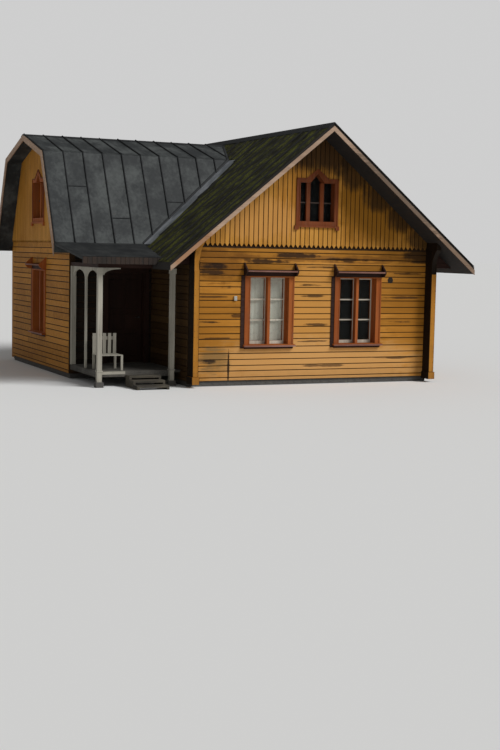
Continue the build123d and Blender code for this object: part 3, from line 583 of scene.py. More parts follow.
BARGE_BLOTS = (
    Blot(1.6, 4.3, (1.7, 1.5), (0.11, 0.078, 0.055), 0.80, 0.4),
    Blot(3.2, 3.0, (0.9, 0.8), (0.13, 0.085, 0.055), 0.65, 0.4),
    Blot(-3.2, 2.95, (0.7, 0.6), (0.34, 0.150, 0.060), 0.6, 0.4),
)
ROOMS = (Room(tuple(at(-2.80, 0.11, 0.25)), tuple(at(2.80, 7.04, 5.60))),
         Room(tuple(at(-4.70, 2.42, 0.25)), tuple(at(-2.79, 7.02, 5.40))))


@dataclass(frozen=True)
class Palette:
    """Every finish on the cabin."""

    ochre: Finish = PaintedWood("ochre_boards", (0.50, 0.220, 0.030), (0.35, 0.140, 0.014), (0.12, 0.065, 0.026),
                                0.42, 0.35, splash=0.25)
    # Its blots hold stains and painted shade.
    front: Finish = PaintedWood("ochre_front_boards", (0.50, 0.215, 0.030), (0.35, 0.142, 0.014),
                                (0.12, 0.065, 0.026), 0.42, splash=0.20, blots=FRONT_STAINS_AND_SHADE)
    # Near-black brown outside, which shows through the boards' joints: painted shade in the gaps.
    logs: Finish = PaintedWood("log_walls", (0.060, 0.028, 0.010), (0.030, 0.014, 0.006), (0.05, 0.03, 0.016), 0.3,
                               rooms=ROOMS)
    # Its blots are painted light and shade.
    gable: Finish = PaintedWood("ochre_gable", (0.56, 0.265, 0.045), (0.40, 0.165, 0.018), (0.16, 0.09, 0.04), 0.22,
                                0.25, (3.6, 5.0), blots=GABLE_LIGHT_AND_SHADE)
    # Darker boards for the wing's wall and near-black ones for the entrance wall under the porch roof: painted shade.
    shaded: Finish = PaintedWood("shaded_boards", (0.065, 0.034, 0.010), (0.032, 0.016, 0.006),
                                 (0.030, 0.02, 0.012), 0.35)
    porch_shade: Finish = PaintedWood("porch_shade_boards", (0.016, 0.010, 0.006), (0.009, 0.006, 0.004),
                                 (0.012, 0.009, 0.006), 0.3)
    # Near-black sides of the corner boxes: dark paint with painted shade.
    side: Finish = PaintedWood("shaded_box_sides", (0.016, 0.009, 0.004), (0.009, 0.005, 0.003), (0.012, 0.008, 0.005), 0.3)
    trim: Finish = PaintedWood("orange_brown_trim", (0.40, 0.112, 0.022), (0.26, 0.062, 0.012), (0.22, 0.13, 0.08),
                               0.26)
    red: Finish = PaintedWood("red_brown_trim", (0.21, 0.050, 0.012), (0.12, 0.028, 0.007), (0.20, 0.12, 0.08), 0.26)
    # Near-black trim on the hoods, below and beside the windows, on the boxed eaves and the porch beam: dark paint with
    # painted shade.
    dark: Finish = PaintedWood("dark_trim", (0.034, 0.013, 0.009), (0.018, 0.008, 0.006), (0.12, 0.075, 0.06), 0.30)
    barge: Finish = PaintedWood("bargeboards", (0.47, 0.33, 0.235), (0.32, 0.21, 0.145), (0.20, 0.15, 0.11), 0.55,
                                blots=BARGE_BLOTS)
    porch: Finish = PaintedWood("porch_white", (0.48, 0.455, 0.38), (0.32, 0.30, 0.25), (0.16, 0.13, 0.10), 0.40)
    ledge: Finish = PaintedWood("worn_ledges", (0.26, 0.130, 0.100), (0.14, 0.055, 0.035), (0.38, 0.26, 0.23), 0.5)
    bars: Finish = PaintedWood("pale_bars", (0.62, 0.59, 0.49), (0.42, 0.38, 0.31), (0.22, 0.15, 0.10), 0.35)
    attic_bars: Finish = PaintedWood("attic_bars", (0.08, 0.055, 0.045), (0.05, 0.034, 0.028), (0.11, 0.09, 0.07),
                                     0.4)
    # Near-black door and frame: painted shade of the porch.
    door: Finish = PaintedWood("door_paint", (0.034, 0.014, 0.009), (0.020, 0.009, 0.006), (0.03, 0.02, 0.014), 0.25)
    bare: Finish = WeatheredWood("grey_wood", (0.085, 0.072, 0.050), (0.028, 0.024, 0.018))
    deck: Finish = WeatheredWood("deck_wood", (0.10, 0.092, 0.078), (0.035, 0.032, 0.027))
    boards: Finish = WeatheredWood("floor_boards", (0.30, 0.21, 0.12), (0.12, 0.08, 0.045))
    # Near-black undersides of the roofs and the porch ceiling: painted shade.
    soffit: Finish = WeatheredWood("shaded_soffit_wood", (0.013, 0.009, 0.006), (0.005, 0.004, 0.003))
    fascia: Finish = WeatheredWood("fascia_boards", (0.030, 0.015, 0.008), (0.012, 0.007, 0.004))
    # Near-black battens that stand in for the shadow line along each one: painted shade.
    batten: Finish = WeatheredWood("roof_battens", (0.006, 0.006, 0.004), (0.003, 0.003, 0.002))
    moss: Finish = MossySheet("mossy_roof")
    edge: Finish = MossySheet("roof_edges", (0.008, 0.008, 0.006), (0.030, 0.036, 0.010), 0.2)
    tin: Finish = TinSheet("slate_tin")
    low_tin: Finish = TinSheet("porch_tin", (0.008, 0.009, 0.010), (0.034, 0.036, 0.035), 0.1)
    seam: Finish = TinSheet("dark_seams", (0.006, 0.007, 0.008), (0.018, 0.020, 0.021), 0.1)
    flashing: Finish = TinSheet("pale_flashing", (0.16, 0.175, 0.190), (0.40, 0.42, 0.445), 0.15)
    # Dark grey stones, darkened toward the shade at the walls' foot: partly painted shade.
    stone: Finish = FieldStone("plinth_stone")
    glass: Finish = WindowGlass("window_glass")
    cloth: Finish = CurtainCloth("curtain_cloth")
    iron: Finish = ForgedIron("black_iron")
    box: Finish = ForgedIron("box_paint", (0.42, 0.42, 0.39), (0.55, 0.55, 0.52), 0.4)
    vent: Finish = ForgedIron("vent_paint", (0.022, 0.015, 0.010), (0.05, 0.034, 0.02), 0.5)


def add(name: str, data: bpy.types.ID) -> bpy.types.Object:
    """Adds an object to the scene.

    Args:
        name: Its name.
        data: Its mesh, lamp or camera.

    Returns:
        The object.
    """
    made = bpy.data.objects.new(name, data)
    bpy.context.scene.collection.objects.link(made)
    return made


def settle(made: bpy.types.Object) -> None:
    """Turns what an object's modifiers make into its plain mesh.

    Args:
        made: The object.
    """
    depsgraph = bpy.context.evaluated_depsgraph_get()
    depsgraph.update()
    mesh = bpy.data.meshes.new_from_object(made.evaluated_get(depsgraph), preserve_all_data_layers=True,
                                           depsgraph=depsgraph)
    made.modifiers.clear()
    made.data = mesh


def finish_piece(made: bpy.types.Object, slot: str, body: str = HOUSE) -> None:
    """Puts a piece on its body and reports it.

    Args:
        made: The piece, in place.
        slot: The record's material slot; not used.
        body: The body that it rides on.
    """
    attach(made, body)
    made.data.calc_loop_triangles()
    log.info("%s: %d triangles", made.name, len(made.data.loop_triangles))


def bisect(shape: bmesh.types.BMesh, point: Vector, normal: Vector, drop: bool = False) -> None:
    """Splits a mesh along a plane, and drops what is on the normal's side if told to."""
    bmesh.ops.bisect_plane(shape, geom=[*shape.verts, *shape.edges, *shape.faces], plane_co=point,
                           plane_no=normal, clear_outer=drop)


def aim(along: Vector, out: Vector) -> Colour:
    """Finds the turn that lays a unit's length one way and faces its front another.

    Args:
        along: Where the unit's x axis points.
        out: Where its front faces.

    Returns:
        The turn, as three angles.
    """
    first = along.normalized()
    back = -(out - out.dot(first) * first).normalized()
    return tuple(Matrix((first, back, first.cross(back))).transposed().to_euler())


@dataclass(frozen=True)
class Placement:
    """Where one repeated unit goes: its middle, its size on its own axes, its turn and its tone."""

    centre: Vector
    size: Colour
    turn: Colour = (0.0, 0.0, 0.0)
    tone: float = 0.0


OUTLINES = {
    "board": [(0, -0.5), (-0.55, -0.5), (-1, -0.462), (-1, 0.462), (-0.55, 0.5), (0, 0.5)],
    "block": [(0, -0.5), (-1, -0.5), (-1, 0.5), (0, 0.5)],
    "seam": [(0, -0.5), (-0.8, -0.36), (-1, -0.14), (-1, 0.14), (-0.8, 0.36), (0, 0.5)],
    "tip": [(-0.5, 0), (-0.47, -0.12), (-0.10, -0.95), (0, -1), (0.10, -0.95), (0.47, -0.12), (0.5, 0)],
    "nail": [(0.5 * math.cos(math.tau * i / 6), 0.5 * math.sin(math.tau * i / 6)) for i in range(6)],
}


class Unit(Enum):
    """Small shapes, one unit large, that get repeated. Their back is at y 0 and their front at y -1."""

    BOARD = "board"
    BLOCK = "block"
    TIP = "tip"
    NAIL = "nail"
    STONE = "stone"
    SEAM = "seam"

    def mesh(self) -> bpy.types.Mesh:
        """Builds the shape's mesh, with a mark on the edges of boards and tips, where painted wood gets painted shade.

        Returns:
            The mesh.
        """
        made = bmesh.new()
        if self is Unit.STONE:
            bmesh.ops.create_icosphere(made, subdivisions=2, radius=0.5)
            chance = random.Random(11)
            for vertex in made.verts:
                vertex.co *= chance.uniform(0.86, 1.1)
        else:
            self._prism(made)
        bmesh.ops.recalc_face_normals(made, faces=made.faces)
        mesh = bpy.data.meshes.new(f"unit_{self.value}")
        made.to_mesh(mesh)
        made.free()
        if self in (Unit.BOARD, Unit.TIP):
            edge = mesh.attributes.new("edge", "FLOAT", "POINT")
            edge.data.foreach_set("value", [float(vertex.co.y > -0.99) for vertex in mesh.vertices])
        return mesh

    def _prism(self, made: bmesh.types.BMesh) -> None:
        """Adds a closed prism, run along y for a tip or nail and along x for the others.

        Args:
            made: The mesh being built.
        """
        outline = OUTLINES[self.value]
        if self in (Unit.TIP, Unit.NAIL):
            rings = [[made.verts.new((x, y, z)) for x, z in outline] for y in (0, -1)]
        else:
            rings = [[made.verts.new((x, y, z)) for y, z in outline] for x in (-0.5, 0.5)]
        count = len(outline)
        for index in range(count):
            after = (index + 1) % count
            made.faces.new((rings[0][index], rings[0][after], rings[1][after], rings[1][index]))
        made.faces.new(rings[0])
        made.faces.new(list(reversed(rings[1])))


class Tree:
    """A Geometry Nodes tree with named inputs."""

    def __init__(self, title: str, inputs: dict[str, tuple[str, object]]) -> None:
        """Makes the tree and its inputs.

        Args:
            title: The tree's name.
            inputs: Socket type and starting value by input name.
        """
        self.tree = bpy.data.node_groups.new(title, "GeometryNodeTree")
        face = self.tree.interface
        face.new_socket("Geometry", in_out="INPUT", socket_type="NodeSocketGeometry")
        self.names = {}
        for name, (kind, value) in inputs.items():
            socket = face.new_socket(name, in_out="INPUT", socket_type=f"NodeSocket{kind}")
            if value is not None:
                socket.default_value = value
            self.names[name] = socket.identifier
        face.new_socket("Geometry", in_out="OUTPUT", socket_type="NodeSocketGeometry")
        self.graph = Graph(self.tree)
        self.given = self.graph.node("NodeGroupInput")

    def value(self, name: str) -> Signal:
        """A named input inside the tree."""
        return self.given.also(name)

    def close(self, geometry: Signal) -> None:
        """Ends the tree in Realize Instances and Set Material.

        Args:
            geometry: What the tree has made.
        """
        real = self.graph.node("GeometryNodeRealizeInstances", None, {"Geometry": geometry})
        dressed = self.graph.node("GeometryNodeSetMaterial", None,
                                  {"Geometry": real, "Material": self.value("Material")})
        self.graph.node("NodeGroupOutput", None, {"Geometry": dressed})

    def run(self, name: str, base: bpy.types.Mesh, values: dict[str, object]) -> bpy.types.Object:
        """Runs the tree on a mesh and keeps the result as a plain mesh.

        Args:
            name: The new object's name.
            base: What the tree starts from.
            values: Values by input name.

        Returns:
            The finished object, without the modifier.
        """
        made = add(name, base)
        modifier = made.modifiers.new(self.tree.name, "NODES")
        modifier.node_group = self.tree
        for key, value in values.items():
            modifier[self.names[key]] = value
        settle(made)
        made.data.name = name
        return made


class Layer:
    """Lays many copies of one unit, each with its own size, turn and tone."""

    def __init__(self) -> None:
        """Builds the tree that every laid piece uses."""
        self.tree = Tree("Laid pieces", {"Unit": ("Object", None), "Shift": ("Float", 0.0), "Tilt": ("Float", 0.0),
                                         "Tone": ("Float", 0.5), "Seed": ("Int", 1), "Material": ("Material", None)})
        self.units = {}
        self._fill()

    def _fill(self) -> None:
        """Adds the tree's nodes: instances on points, moved a little, with a tone each."""
        value, graph = self.tree.value, self.tree.graph
        stored = (("size", "FLOAT_VECTOR"), ("turn", "FLOAT_VECTOR"), ("own_tone", "FLOAT"))
        size, turn, own = (graph.node("GeometryNodeInputNamedAttribute", {"data_type": kind}, {"Name": name})
                           for name, kind in stored)
        unit = graph.node("GeometryNodeObjectInfo", None, {"Object": value("Unit")}, "Geometry")
        spread = graph.node("FunctionNodeRandomValue", {"data_type": "FLOAT_VECTOR"},
                            {"Min": (-1.0, -1.0, -1.0), "Max": (1.0, 1.0, 1.0), "Seed": value("Seed")})
        whole = graph.vector("ADD", {0: turn, 1: graph.vector("SCALE", {0: spread, "Scale": value("Tilt")})})
        laid = graph.node("GeometryNodeInstanceOnPoints", None,
                          {"Points": value("Geometry"), "Instance": unit, "Rotation": whole, "Scale": size})
        moved = graph.vector("SCALE", {0: spread, "Scale": value("Shift")})
        placed = graph.node("GeometryNodeTranslateInstances", None,
                            {"Instances": laid, "Translation": moved, "Local Space": False})
        chance = graph.node("FunctionNodeRandomValue", {"data_type": "FLOAT"},
                            {"Min": -1.0, "Max": 1.0, "Seed": value("Seed")})
        kept = graph.node("GeometryNodeStoreNamedAttribute", {"data_type": "FLOAT", "domain": "INSTANCE"},
                          {"Geometry": placed, "Name": "tone", "Value": chance * value("Tone") + own})
        self.tree.close(kept)

    def unit(self, kind: Unit) -> bpy.types.Object:
        """The object that holds a unit's mesh, made when first asked for.

        Args:
            kind: The unit.

        Returns:
            The object, outside the scene.
        """
        if kind not in self.units:
            self.units[kind] = bpy.data.objects.new(f"unit_{kind.value}", kind.mesh())
        return self.units[kind]

    def lay(self, name: str, kind: Unit, places: list[Placement], finish: bpy.types.Material, seed: int = 1,
            tone: float = 0.5, shift: float = 0.0, tilt: float = 0.0) -> bpy.types.Object:
        """Lays one unit at every placement.

        Args:
            name: The piece's name.
            kind: The unit.
            places: Where it goes.
            finish: The material.
            seed: Fixes what is random.
            tone: Spread of the tones.
            shift: Furthest random move, in metres.
            tilt: Furthest random turn, in radians.

        Returns:
            The piece as a plain mesh.
        """
        base = bpy.data.meshes.new(name)
        base.from_pydata([tuple(place.centre) for place in places], [], [])
        for key in ("size", "turn"):
            store = base.attributes.new(key, "FLOAT_VECTOR", "POINT")
            store.data.foreach_set("vector", [part for place in places for part in getattr(place, key)])
        own = base.attributes.new("own_tone", "FLOAT", "POINT")
        own.data.foreach_set("value", [place.tone for place in places])
        return self.tree.run(name, base, {"Unit": self.unit(kind), "Shift": shift, "Tilt": tilt, "Tone": tone,
                                          "Seed": seed, "Material": finish})


@dataclass
class Slope:
    """A flat side of a roof, by a lower corner, the way along it, the way up it and its size."""

    corner: Vector
    along: Vector
    up: Vector
    width: float
    length: float

    @property
    def out(self) -> Vector:
        """Where its upper face looks."""
        normal = self.along.cross(self.up).normalized()
        return normal if normal.z > 0 else -normal

    def point(self, across: float, climb: float, lift: float) -> Vector:
        """A point of the slope, by its distance along, up and over it."""
        return self.corner + self.along * across + self.up * climb + self.out * lift


@dataclass(frozen=True)
class Sheet:
    """How a roof sheet is made: its ribs, which run along y, its waves, thickness and height over the slab."""

    spacing: float = 0.48
    height: float = 0.0
    share: float = 0.3
    buckle: float = 0.007
    thick: float = 0.003
    lift: float = 0.009


class Sheeting:
    """Makes roof sheets: a grid with ribs at a spacing and slow buckles."""

    def __init__(self) -> None:
        """Builds the sheet's tree."""
        sizes = ("Width", "Length", "Rib Spacing", "Rib Height", "Rib Share", "Buckle")
        self.tree = Tree("Roof sheet", {**{name: ("Float", 1.0) for name in sizes}, "Columns": ("Int", 8),
                                        "Rows": ("Int", 8), "Seed": ("Int", 1), "Material": ("Material", None)})
        self._fill()

    def _fill(self) -> None:
        """Adds the tree's nodes: a grid raised by a rounded rib and by noise."""
        value, graph = self.tree.value, self.tree.graph
        grid = graph.node("GeometryNodeMeshGrid", None,
                          {"Size X": value("Width"), "Size Y": value("Length"), "Vertices X": value("Columns"),
                           "Vertices Y": value("Rows")}, "Mesh")
        place = graph.node("GeometryNodeInputPosition")
        across = graph.node("ShaderNodeSeparateXYZ", None, {"Vector": place}, "X")
        share = graph.math("FRACT", (across + 100.0 * value("Rib Spacing")) / value("Rib Spacing"))
        rib = graph.math("ABSOLUTE", share - 0.5).ease(value("Rib Share") * 0.5, 0.04)
        buckle = graph.node("ShaderNodeTexNoise", {"noise_dimensions": "4D"},
                            {"Vector": place, "W": value("Seed"), "Scale": 1.7, "Detail": 2.0})
        lift = rib * value("Rib Height") + (buckle - 0.5) * 2.0 * value("Buckle")
        offset = graph.node("ShaderNodeCombineXYZ", None, {"Z": lift})
        self.tree.close(graph.node("GeometryNodeSetPosition", None, {"Geometry": grid, "Offset": offset}))

    def lay(self, name: str, slope: Slope, sheet: Sheet, finish: bpy.types.Material, seed: int) -> bpy.types.Object:
        """Makes a sheet and lays it on a slope, as a face without thickness.

        Args:
            name: The piece's name.
            slope: What it covers.
            sheet: How it is made.
            finish: The material.
            seed: Fixes the waves.

        Returns:
            The sheet, in place.
        """
        pitch = sheet.spacing / 12 if sheet.height else 0.16
        made = self.tree.run(name, bpy.data.meshes.new(name), {
            "Width": slope.width, "Length": slope.length, "Columns": max(2, round(slope.width / pitch)) + 1,
            "Rows": max(2, round(slope.length / 0.25)) + 1, "Rib Spacing": sheet.spacing,
            "Rib Height": sheet.height, "Rib Share": sheet.share, "Buckle": sheet.buckle, "Seed": seed,
            "Material": finish})
        turn = Matrix((slope.up.cross(slope.out), slope.up, slope.out)).transposed().to_4x4()
        middle = slope.point(slope.width / 2, slope.length / 2, sheet.lift)
        made.data.transform(Matrix.Translation(middle) @ turn)
        return made


class Side(Enum):
    """The way that a wall faces, as its turn from the gabled front."""

    FRONT = 0.0
    RIGHT = math.pi / 2
    BACK = math.pi
    LEFT = -math.pi / 2


@dataclass(frozen=True)
class Wall:
    """A wall's outer face: which way it looks, and the place that its own sizes are measured from."""

    side: Side
    middle: Span

    @property
    def swing(self) -> Matrix:
        """The turn from the gabled front to this wall."""
        return Matrix.Rotation(self.side.value, 3, "Z")

    def point(self, along: float, out: float, level: float) -> Vector:
        """A point on the wall, by its reach along the wall, its distance out of it and its level."""
        flat = self.swing @ Vector((along, -out, 0.0))
        return at(self.middle[0] + flat.x, self.middle[1] + flat.y, level)

    def turn(self, upright: bool = False, lean: float = 0.0) -> Colour:
        """The turn of a unit that lies on this wall.

        Args:
            upright: Whether its length stands up.
            lean: Angle in the wall's plane.

        Returns:
            The turn, as three angles.
        """
        angle = lean + (math.pi / 2 if upright else 0.0)
        return aim(self.swing @ Vector((math.cos(angle), 0.0, math.sin(angle))), self.swing @ -AXIS_Y)

    def put(self, along: float, out: float, level: float, size: Colour, upright: bool = False, tone: float = 0.0,
            lean: float = 0.0) -> Placement:
        """Where a unit of this size goes on the wall."""
        return Placement(self.point(along, out, level), size, self.turn(upright, lean), tone)


FRONT = Wall(Side.FRONT, (0.0, 0.0))
BACK = Wall(Side.BACK, (0.0, DEPTH))
RIGHT = Wall(Side.RIGHT, (2.94, DEPTH / 2))
END = Wall(Side.LEFT, (-4.85, TIN_MIDDLE))
WING = Wall(Side.LEFT, (-2.94, 1.125))
ENTRANCE = Wall(Side.FRONT, (0.0, 2.25))
Spots = tuple[tuple[Wall, float], ...]


@dataclass(frozen=True)
class Strip:
    """A strip beside a spot on a wall: its offset along the wall, how it stands out, its level and its size."""

    offset: float
    out: float
    level: float
    size: Colour
    upright: bool = False
    tone: float = 0.0
    lean: float = 0.0


def strips(spots: Spots, paired: tuple[Strip, ...] = (), single: tuple[Strip, ...] = ()) -> list[Placement]:
    """Places strips at each spot: the paired ones on both sides of it, then the single ones.

    Args:
        spots: Walls and places along them.
        paired: Strips that are mirrored, the left ones first.
        single: Strips that are not.

    Returns:
        One placement for each strip.
    """
    found = []
    for wall, middle in spots:
        for side, rows in ((-1, paired), (1, paired), (1, single)):
            found += [wall.put(middle + side * row.offset, row.out, row.level, row.size, row.upright, row.tone,
                               -side * row.lean) for row in rows]
    return found


@dataclass
class Part:
    """A sub-assembly, with the tools that it shares with the others."""

    layer: Layer
    palette: Palette

    def piece(self, name: str, kind: Unit, places: list[Placement], finish: bpy.types.Material, slot: str,
              seed: int, body: str = HOUSE, **spread: float) -> None:
        """Lays one unit at every placement and finishes the piece."""
        finish_piece(self.layer.lay(name, kind, places, finish, seed, **spread), slot, body)


@dataclass(frozen=True)
class Field:
    """A stretch of wall that gets boards: its reach along and up, and the holes left in it."""

    wall: Wall
    along: Span
    levels: Span
    holes: tuple[Hole, ...] = ()
    longest: float = 6.0


def window_holes(*middles: float) -> tuple[Hole, ...]:
    """What casement windows, their sills and their hoods take out of the boards."""
    return tuple((middle - 0.585, middle + 0.585, 0.795, 2.4725) for middle in middles)


@dataclass
class WallBoards(Part):
    """Level boards over the log walls, with a dark joint between them."""

    lowest_joint: float = 0.184
    thick: float = 0.015
    gap: float = 0.013
    least: float = 0.02
    widths: tuple[float, ...] = (0.136, 0.115, 0.130, 0.128, 0.142, 0.166, 0.117, 0.147, 0.159, 0.117, 0.140, 0.145,
                                 0.132, 0.157, 0.117, 0.126, 0.119, 0.132, 0.119, 0.129)
    fields: dict[str, tuple[Field, ...]] = field(default_factory=lambda: {
        "boards_front": (Field(FRONT, (-2.824, 2.824), (0.112, 2.99), window_holes(-1.0849, 1.0849)),),
        "boards_right": (Field(RIGHT, (-3.575, 3.575), (0.112, 2.574), window_holes(-1.7875, 1.7875), 4.2),),
        "boards_back": (Field(BACK, (-2.824, 2.94), (0.112, 2.99), window_holes(-1.0849, 1.0849), 4.6),
                        Field(BACK, (2.942, 4.735), (0.112, 3.05))),
        "boards_end": (Field(END, (-2.45, 2.45), (0.112, 2.99), window_holes(0.0), 4.0),),
        "boards_wing": (Field(WING, (-1.125, 1.125), (0.112, 2.574)),),
        "boards_entrance": (Field(ENTRANCE, (-4.73, -2.956), (0.322, 2.80), ((-4.086, -3.011, 0.30, 2.444),)),)})

    def rows(self, levels: Span) -> list[Span]:
        """Works out the lower and upper edge of each board between two levels.

        Args:
            levels: The lowest and highest edge.

        Returns:
            The edges, from below.
        """
        low, high = levels
        joints = [joint for joint in accumulate(self.widths, initial=self.lowest_joint)
                  if low + self.least < joint < high - self.least]
        return list(zip([low, *joints], [*joints, high]))

    def cut_row(self, stretch: Field, row: Span) -> list[Hole]:
        """Cuts one row of boards round the windows.

        Args:
            stretch: The field that the row is in.
            row: The row's lower and upper edge.

        Returns:
            Left, right, lower and upper edge of each board.
        """
        edges = {edge for hole in stretch.holes for edge in hole[:2] if stretch.along[0] < edge < stretch.along[1]}
        marks = sorted({*stretch.along, *edges})
        found = []
        for left, right in zip(marks, marks[1:]):
            low, high = row
            for hole in stretch.holes:
                if hole[0] < (left + right) / 2 < hole[1] and hole[2] < high and hole[3] > low:
                    low, high = (hole[3], high) if hole[2] <= low else (low, hole[2])
            if high - low < 0.006:
                continue
            if found and found[-1][1] == left and found[-1][2:] == (low, high):
                found[-1] = (found[-1][0], right, low, high)
            else:
                found.append((left, right, low, high))
        return found

    def shorten(self, board: Hole, longest: float, chance: random.Random) -> list[Hole]:
        """Breaks a board that is longer than timber comes into two, at a random place.

        Args:
            board: Its left, right, lower and upper edge.
            longest: How long timber comes.
            chance: Where the joint's place is drawn from.

        Returns:
            The board, or its two parts.
        """
        left, right, low, high = board
        if right - left <= longest:
            return [board]
        joint = left + (right - left) * chance.uniform(0.3, 0.7)
        return [(left, joint - 0.001, low, high), (joint + 0.001, right, low, high)]

    def build(self) -> None:
        """Lays the boards of every wall, in the front's own finish and, under the porch roof, in darker ones that are
        painted shade.
        """
        p = self.palette
        # The wing's and entrance's boards are darkened for the porch roof's shade: painted shade.
        own = {"boards_front": p.front, "boards_wing": p.shaded, "boards_entrance": p.porch_shade}
        for seed, (name, stretches) in enumerate(self.fields.items(), 3):
            chance = random.Random(seed)
            places = []
            for stretch in stretches:
                for row in self.rows(stretch.levels):
                    for board in self.cut_row(stretch, row):
                        # Each board's tone falls with its height, so the boards darken toward the eaves: painted shade
                        # of the overhang.
                        places += [stretch.wall.put((left + right) / 2, 0.0, (low + high) / 2,
                                                    (right - left, self.thick, high - low - self.gap),
                                                    tone=0.35 - 0.22 * low)
                                   for left, right, low, high in self.shorten(board, stretch.longest, chance)]
            self.piece(name, Unit.BOARD, places, own.get(name, p.ochre).material(Grain.X), "ochre_boards", seed,
                       tone=0.9, shift=0.0007, tilt=0.0006)


@dataclass(frozen=True)
class Gable:
    """A gable's boards: their wall, width over all and count, and the lines of the roof's underside above them."""

    wall: Wall
    width: float
    count: int
    lines: tuple[Span, ...]

    @property
    def step(self) -> float:
        """From board to board."""
        return self.width / self.count

    def places(self) -> list[float]:
        """The middle of each board along the wall."""
        return [-self.width / 2 + (index + 0.5) * self.step for index in range(self.count)]

    def top(self, along: float) -> float:
        """Level of a board's top end, which is cut a little into the roof."""
        level, steepness = min((middle - steepness * abs(along), steepness) for middle, steepness in self.lines)
        return level + 0.45 * self.step * steepness


@dataclass
class GableBoards(Part):
    """Upright boards over the gables, whose lower ends make the row of points."""

    thick: float = 0.013
    skirt: float = 0.022
    tip: float = 2.975
    point: float = 0.075
    casing_half: float = 0.510
    casing_foot: float = 3.44
    gables: dict[str, Gable] = field(default_factory=lambda: {
        "gable_boards_front": Gable(FRONT, 5.65, 51, ((5.4501, GABLE_STEEP),)),
        "gable_boards_back": Gable(BACK, 5.65, 51, ((5.4501, GABLE_STEEP),)),
        "gable_boards_end": Gable(END, 4.90, 45, ((8.08268, 2.0503), (5.345, 0.28675)))})

    def casing_top(self, along: float) -> float:
        """Level of the attic window casing's top edge over a place."""
        return 4.47 + max(0.0, 0.2 * (1 - along / 0.261))

    def boards(self, gable: Gable) -> list[Placement]:
        """Works out a gable's boards, less what its window takes out of them.

        Args:
            gable: The gable.

        Returns:
            One placement for each board.
        """
        foot = self.tip + self.point
        found = []
        for along in gable.places():
            top = gable.top(along)
            spans = [(foot, top)]
            if abs(along) < self.casing_half:
                spans = [(foot, self.casing_foot), (self.casing_top(abs(along) + gable.step / 2) - 0.03, top)]
            found += [gable.wall.put(along, self.skirt, (low + high) / 2,
                                     (high - low, self.thick, gable.step - 0.012), True, 0.1)
                      for low, high in spans if high - low > 0.02]
        return found

    def tips(self, gable: Gable) -> list[Placement]:
        """The point below each board."""
        return [gable.wall.put(along, self.skirt, self.tip + self.point,
                               (gable.step - 0.008, self.thick, self.point), tone=0.1) for along in gable.places()]

    def join(self, name: str, parts: list[bpy.types.Object]) -> bpy.types.Object:
        """Joins several objects' meshes into one piece.

        Args:
            name: The new piece's name.
            parts: The objects, which are removed.

        Returns:
            The joined piece.
        """
        shape = bmesh.new()
        materials = []
        mesh = bpy.data.meshes.new(name)
        for part in parts:
            before = len(shape.faces)
            shape.from_mesh(part.data)
            shape.faces.ensure_lookup_table()
            for face in shape.faces[before:]:
                face.material_index += len(materials)
            materials.extend(part.data.materials)
            bpy.data.objects.remove(part)
        shape.to_mesh(mesh)
        shape.free()
        for material in materials:
            mesh.materials.append(material)
        return add(name, mesh)

    def build(self) -> None:
        """Boards the three gables."""
        finish = self.palette.gable.material(Grain.Z)
        for seed, (name, gable) in enumerate(self.gables.items(), 21):
            upright = self.layer.lay(f"{name}_upright", Unit.BOARD, self.boards(gable), finish, seed, 0.55)
            tips = self.layer.lay(f"{name}_tips", Unit.TIP, self.tips(gable), finish, seed, 0.55)
            finish_piece(self.join(name, [upright, tips]), "ochre_boards")


